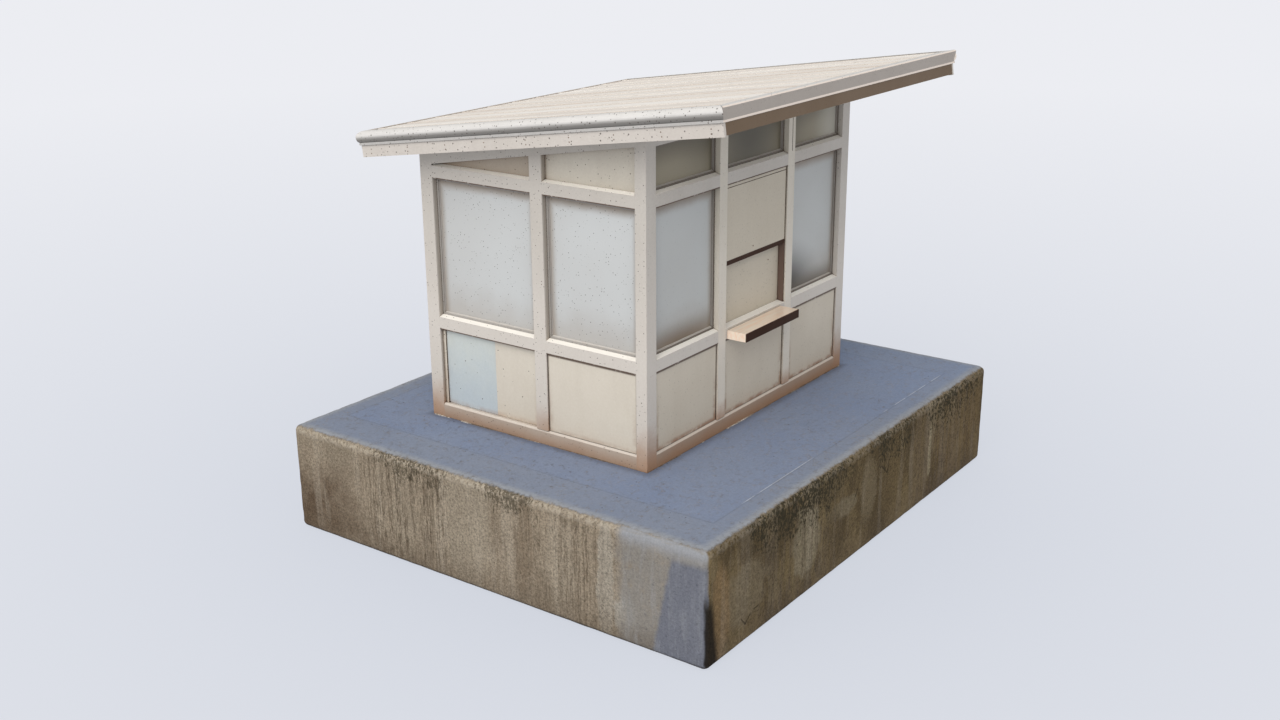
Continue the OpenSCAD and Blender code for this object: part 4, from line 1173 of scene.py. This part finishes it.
def makePlinthSkin():
    v = plinthSkin
    centre = (plinthLow + plinthHigh) / 2.0
    half = (plinthHigh - plinthLow) / 2.0
    stops = [axisStops(half[axis]) for axis in range(3)]
    inner = half - Vector((v["radius"],) * 3)
    corners, index = [], {}

    def corner(spot):
        core = Vector([max(-inner[i], min(inner[i], spot[i])) for i in range(3)])
        outward = (spot - core).normalized()
        point = centre + core + outward * v["radius"]
        key = tuple(round(value, 5) for value in point)
        if key not in index:
            index[key] = len(corners)
            corners.append(point - outward * plinthDip(point, outward))
        return index[key]

    faces = []
    margin = len(v["arcAngles"]) - 1
    for axis, side in ((0, -1), (0, 1), (1, -1), (1, 1), (2, -1), (2, 1)):
        first, second = [other for other in range(3) if other != axis]
        rows = []
        for a in stops[first]:
            row = []
            for b in stops[second]:
                spot = Vector((0.0, 0.0, 0.0))
                spot[axis], spot[first], spot[second] = side * half[axis], a, b
                row.append(corner(spot))
            rows.append(row)
        flips = (side > 0) == (axis == 1)
        hidden = (axis, side) == (2, -1)     # the underside's middle is one face
        last, end = len(rows) - 1 - margin, len(rows[0]) - 1 - margin
        for i in range(len(rows) - 1):
            for j in range(len(rows[0]) - 1):
                if hidden and margin <= i < last and margin <= j < end:
                    continue
                face = (rows[i][j], rows[i + 1][j], rows[i + 1][j + 1], rows[i][j + 1])
                faces.append(face[::-1] if flips else face)
        if hidden:
            loop = [rows[i][margin] for i in range(margin, last)]
            loop += [rows[last][j] for j in range(margin, end)]
            loop += [rows[i][end] for i in range(last, margin, -1)]
            loop += [rows[margin][j] for j in range(end, margin, -1)]
            faces.append(tuple(loop[::-1] if flips else loop))
    skin = addPiece("plinth_skin", corners, faces, "concrete", smooth=True)
    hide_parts("plinth")


makePlinthSkin()
print("Plinth skin made")


# Putty: an uneven bevelled fillet round each pane, in the corner between the frame's lip and the glass
putty = {
    "inset": 0.008,
    "leg": 0.0075,
    "unevenness": 0.0016,
    "wavesPerMetre": (17.0, 31.0, 17.0),
    "section": ((0.0, 0.0), (1.0, 0.0), (0.55, 0.62), (0.0, 1.0)),
    "lift": 0.0004,
    "step": 0.05,
}


def makePutty():
    v = putty
    strips = Gathered()
    middle = (boothLow + boothHigh) / 2.0
    for name in ("front_windows", "back_windows", "left_windows", "right_windows", "front_transom_glass"):
        for low, high in solidBoxes(name):
            across = 0 if high.x - low.x > high.y - low.y else 1
            through = 1 - across
            if name == "back_windows" and abs(high.y - solidBoxes(name)[-1][1].y) > 0.01:
                continue                     # the door's own light has its beads in the door
            outward = 1.0 if low[through] > middle[through] else -1.0
            face = high[through] if outward > 0.0 else low[through]
            first = (low[across] + v["inset"], low.z + v["inset"])
            last = (high[across] - v["inset"], high.z - v["inset"])
            turns = [(first, (1, 1)), ((last[0], first[1]), (-1, 1)), (last, (-1, -1)), ((first[0], last[1]), (1, -1))]
            rings = []
            for corner in range(4):
                (startA, startZ), startTurn = turns[corner]
                (endA, endZ), endTurn = turns[(corner + 1) % 4]
                length = math.hypot(endA - startA, endZ - startZ)
                count = max(2, round(length / v["step"]))
                inward = ((startTurn[0] + endTurn[0]) / 2, (startTurn[1] + endTurn[1]) / 2)
                for i in range(count):
                    share = i / count
                    a, z = startA + (endA - startA) * share, startZ + (endZ - startZ) * share
                    aim = startTurn if i == 0 else inward
                    rough = noise.noise(Vector((a, face, z)) * Vector(v["wavesPerMetre"]))
                    leg = v["leg"] + v["unevenness"] * rough
                    ring = []
                    for offset, rise in v["section"]:
                        spot = Vector((0.0, 0.0, z + aim[1] * (leg * offset)))
                        spot[across] = a + aim[0] * (leg * offset)
                        spot[through] = face + outward * (leg * rise + v["lift"])
                        ring.append(spot)
                    rings.append(ring)
            strips.addRings(rings, True)
    addPiece("putty", strips.corners, strips.faces, "glazing_paint")


# Mortar: an uneven fillet where the sole plates meet the plinth, gone in places
footMortar = {
    "step": 0.018,
    "leg": 0.010,
    "least": 0.0012,
    "gapsPerMetre": 6.0,
    "gapShift": (0.0, 0.0, 4.7),
    "fullness": 0.45,
    "crumbsPerMetre": 40.0,
    "overlap": 0.001,
}


def makeFootMortar():
    v = footMortar
    runs = Gathered()
    corners = [Vector((boothLow.x, boothLow.y, 0)), Vector((boothHigh.x, boothLow.y, 0)),
               Vector((boothHigh.x, boothHigh.y, 0)), Vector((boothLow.x, boothHigh.y, 0))]
    for side in range(4):
        start, end = corners[side], corners[(side + 1) % 4]
        along = (end - start).normalized()
        outward = Vector((along.y, -along.x, 0.0))
        count = round((end - start).length / v["step"])
        rings = []
        for i in range(count + 1):
            spot = start + (end - start) * (i / count)
            gapSpot = spot * v["gapsPerMetre"] + Vector(v["gapShift"])
            fill = noise.fractal(gapSpot, 0.8, lacunarity, octaves) + v["fullness"] * 0.5
            leg = v["leg"] * min(1.0, max(0.0, fill * 2.2)) if 0 < i < count else 0.0
            if leg > v["least"]:
                rise = leg * (0.55 + 0.4 * noise.noise(spot * v["crumbsPerMetre"]))
                ring = []
                for off, up in ((-v["overlap"], 0.0), (leg, 0.0), (leg * 0.7, rise * 0.65), (-v["overlap"], rise)):
                    ring.append(spot + outward * off + Vector((0.0, 0.0, groundLevel + up)))
                rings.append(ring)
            if leg <= v["least"] or i == count:
                if len(rings) > 2:
                    runs.addRings(rings, False)
                rings = []
    addPiece("foot_mortar", runs.corners, runs.faces, "mortar")


# Soffit: matched boards with V joints under the roof, in place of the plain sheet
soffitBoards = {
    "width": 0.094,
    "groove": 0.004,
}


def makeSoffit():
    v = soffitBoards
    slope, up = roofAxes()
    across, down = Vector((1.0, 0.0, 0.0)), -up
    points = [vertex.co for vertex in nodes["roof_soffit"].data.vertices]
    (left, right), (foot, top), (upper, lower) = [reach(points, axis) for axis in (across, slope, down)]
    count = round((right - left) / v["width"])
    width = (right - left) / count
    g = v["groove"]
    boards = Gathered()
    for i in range(count):
        a, b = left + i * width, left + (i + 1) * width
        section = ((a, upper), (b, upper), (b, lower - g), (b - g, lower), (a + g, lower), (a, lower - g))
        rings = [[across * x + slope * end + down * depth for x, depth in section] for end in (foot, top)]
        boards.addRings(rings, False)
    soffit = addPiece("soffit_boards", boards.corners, boards.faces, "soffit_paint")
    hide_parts("roof_soffit")


# Nail heads along the verge boards and the eaves boards
nails = {
    "radius": 0.0048,
    "profile": ((1.0, -0.002), (1.0, 0.00048), (0.6, 0.0012), (0.15, 0.00126)),
    "spacing": 0.42,
    "edge": 0.026,
    "gap": 0.032,
    "end": 0.10,
    "shift": 0.006,
}


def makeNails():
    v = nails
    heads = Gathered()
    slope, up = roofAxes()
    across = Vector((1.0, 0.0, 0.0))
    middle = (boothLow + boothHigh) / 2.0
    for name, along, through in (("verge_boards", slope, across), ("eaves_boards", across, slope)):
        for spots in solidParts(name):
            centre = sum(spots, Vector()) / len(spots)
            outward = through if (centre - middle).dot(through) > 0.0 else -through
            face = reach(spots, outward)[1]
            first, last = reach(spots, along)
            first, last = first + v["end"], last - v["end"]
            low = reach(spots, up)[0]
            count = round((last - first) / v["spacing"])
            for i in range(count + 1):
                for rise in (v["edge"], v["edge"] + v["gap"]):
                    shift = v["shift"] * noise.noise(Vector((i * 1.7, rise * 90.0, face)))
                    at = first + (last - first) * i / count + shift
                    spot = along * at + up * (low + rise) + outward * face
                    heads.addTurned(spot, outward, v["profile"], 10, v["radius"])
    addPiece("nail_heads", heads.corners, heads.faces, "nail_iron")


# Door ironmongery: three butt hinges on the side away from the lever, and a key cylinder under it
hinges = {
    "heights": (0.22, 1.02, 1.82),
    "length": 0.096,
    "knuckle": 0.0062,
    "knuckles": 5,
    "gap": 0.0006,
    "chamfer": 0.0016,
    "pin": ((0.003, -0.004), (0.0048, -0.001), (0.0048, 0.0010)),
    "leaf": (0.030, 0.002),
    "leafTrim": 0.003,
    "sink": 0.001,
    "screw": ((0.0036, -0.001), (0.0036, 0.0004), (0.0022, 0.0009)),
    "screwLevels": (0.2, 0.5, 0.8),
    "screwAcross": 0.62,
    "cylinderAcross": 0.022,
    "cylinderDrop": 0.038,
    "cylinderRadius": 0.013,
    "cylinder": ((1.0, -0.001), (1.0, 0.003), (0.85, 0.0045), (0.55, 0.0045), (0.5, 0.0055), (0.1, 0.0058)),
}


def makeHinges():
    v = hinges
    leafLow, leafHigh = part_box("door_leaf")
    handleLow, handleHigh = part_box("door_handle")
    parts = Gathered()
    face = leafHigh.y
    edge = leafHigh.x if handleLow.x - leafLow.x < leafHigh.x - handleHigh.x else leafLow.x
    inward = -1.0 if edge == leafHigh.x else 1.0
    up, outward = Vector((0.0, 0.0, 1.0)), Vector((0.0, 1.0, 0.0))
    length, gap, chamfer = v["length"], v["gap"], v["chamfer"]
    wide, thick = v["leaf"]
    for height in v["heights"]:
        foot = Vector((edge + inward * 0.002, face + v["knuckle"] * 0.7, leafLow.z + height))
        part = length / v["knuckles"]
        for i in range(v["knuckles"]):
            r = v["knuckle"] if i % 2 == 0 else v["knuckle"] * 0.94
            low, high = part * i, part * (i + 1)
            parts.addTurned(foot, up, [(r * 0.8, low + gap), (r, low + chamfer), (r, high - chamfer),
                                       (r * 0.8, high - gap)], 14)
        parts.addTurned(foot, up, v["pin"], 12)
        parts.addTurned(foot, up, [(r, length - rise) for r, rise in reversed(v["pin"])], 12)
        rings = []
        for at, trim in ((0.0, v["leafTrim"]), (v["leafTrim"], 0.0), (length - v["leafTrim"], 0.0),
                         (length, v["leafTrim"])):
            far = edge + inward * (wide - trim)
            rings.append([Vector((x, y, foot.z + at)) for x, y in (
                (edge, face - v["sink"]), (far, face - v["sink"]), (far, face + thick), (edge, face + thick))])
        parts.addRings(rings, False)
        for level in v["screwLevels"]:
            screw = Vector((edge + inward * wide * v["screwAcross"], face + thick, foot.z + length * level))
            parts.addTurned(screw, outward, v["screw"], 10)
    centre = Vector((handleLow.x + v["cylinderAcross"], face, handleLow.z - v["cylinderDrop"]))
    parts.addTurned(centre, outward, v["cylinder"], 24, v["cylinderRadius"])
    addPiece("door_ironmongery", parts.corners, parts.faces, "handle_steel")


# Two small studs beside the ticket hatch, one on the fixed panel and one on the shutter
studs = {
    "places": ((0.021, 2.347, "hatch_upper_panel"), (0.350, 2.152, "hatch_shutter")),
    "radius": 0.006,
    "profile": ((1.0, -0.001), (1.0, 0.001), (0.86, 0.0026), (0.5, 0.0038), (0.12, 0.0042)),
}


def makeStuds():
    v = studs
    parts = Gathered()
    for x, z, name in v["places"]:
        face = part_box(name)[0].y
        parts.addTurned(Vector((x, face, z)), Vector((0.0, -1.0, 0.0)), v["profile"], 14, v["radius"])
    addPiece("hatch_studs", parts.corners, parts.faces, "nail_iron")


for make in (makePutty, makeFootMortar, makeSoffit, makeNails, makeHinges, makeStuds):
    make()
print("Putty, mortar, soffit, nails, hinges and studs made")


# Floor: a plain pale disc, darker near the object than far off
floorLook = {
    "radius": 300.0,
    "corners": 96,
    "near": (0.655, 0.685, 0.755),
    "far": (0.835, 0.845, 0.885),
    "from": 2.5,
    "to": 26.0,
    "glow": 0.88,
}


def makeFloor():
    v = floorLook
    mesh = bpy.data.meshes.new("floor")
    angles = [math.tau * i / v["corners"] for i in range(v["corners"])]
    rim = [(v["radius"] * math.cos(angle), v["radius"] * math.sin(angle), 0.0) for angle in angles]
    mesh.from_pydata(rim, [], [tuple(range(v["corners"]))])
    floor = bpy.data.objects.new("floor", mesh)
    bpy.context.scene.collection.objects.link(floor)
    material, graph, shader = newMaterial("pale_floor")
    place = graph.place()
    away = graph.node("ShaderNodeVectorMath", {0: place}, operation="LENGTH")["Value"]
    share = graph.math("LOGARITHM", graph.larger(away, v["from"]) / v["from"],
                       v["to"] / v["from"])
    share = graph.smaller(share, 1.0)
    tone = graph.mix(share, v["near"], v["far"])
    graph.put(shader.inputs["Base Color"], graph.mix(v["glow"], tone, (0.0, 0.0, 0.0)))
    graph.put(shader.inputs["Emission Color"], tone)
    shader.inputs["Emission Strength"].default_value = v["glow"]
    shader.inputs["Roughness"].default_value = 1.0
    shader.inputs["Specular IOR Level"].default_value = 0.0
    mesh.materials.append(material)


# Light: an even pale surround, brighter on the left and above, with one broad soft sun
light = {
    "low": 0.38,
    "high": 0.78,
    "shadeFrom": -0.6,
    "colour": (0.97, 0.98, 1.0),
    "towards": (-0.72, -0.22, 0.66),
    "sun": 1.9,
    "sunColour": (1.0, 0.97, 0.93),
    "sunAngle": 50.0,
}


def makeLight():
    v = light
    world = bpy.data.worlds.new("Studio")
    bpy.context.scene.world = world
    world.use_nodes = True
    graph = Graph(world.node_tree)
    shell = world.node_tree.nodes["Background"]
    direction = graph.node("ShaderNodeTexCoord")["Generated"]
    aim = Vector(v["towards"]).normalized()
    facing = graph.measure("DOT_PRODUCT", direction, aim)
    share = graph.soften(facing, v["shadeFrom"], 1.0)
    strength = share * (v["high"] - v["low"]) + v["low"]
    seen = graph.node("ShaderNodeLightPath")["Is Camera Ray"]
    graph.put(shell.inputs["Color"], graph.mix(seen, v["colour"], floorLook["far"]))
    graph.put(shell.inputs["Strength"], graph.larger(strength, seen))
    data = bpy.data.lights.new("Key", "SUN")
    data.energy = v["sun"]
    data.color = v["sunColour"]
    data.angle = math.radians(v["sunAngle"])
    sun = bpy.data.objects.new("Key", data)
    sun.rotation_mode = "QUATERNION"
    sun.rotation_quaternion = aim.to_track_quat("Z", "Y")
    bpy.context.scene.collection.objects.link(sun)


# Camera: the photograph's viewing angle, solved from the object's edges
cameraView = {
    "place": (-9.4505, -6.6717, 5.1862),
    "yaw": 35.9486,
    "pitch": 18.9548,
    "roll": -0.3889,
    "lens": 40.266,
    "sensor": 36.0,
    "reach": 1000.0,
}


def makeCamera():
    v = cameraView
    data = bpy.data.cameras.new("Camera")
    data.lens = v["lens"]
    data.sensor_width = v["sensor"]
    data.clip_end = v["reach"]
    camera = bpy.data.objects.new("Camera", data)
    turn = Matrix.Rotation(math.radians(v["yaw"] - 90.0), 4, "Z")
    tilt = Matrix.Rotation(math.radians(90.0 - v["pitch"]), 4, "X")
    roll = Matrix.Rotation(math.radians(v["roll"]), 4, "Z")
    camera.matrix_world = Matrix.Translation(v["place"]) @ turn @ tilt @ roll
    bpy.context.scene.collection.objects.link(camera)
    bpy.context.scene.camera = camera


makeFloor()
makeLight()
makeCamera()
bpy.context.scene.view_settings.view_transform = "Standard"
print("Floor, light and camera made")
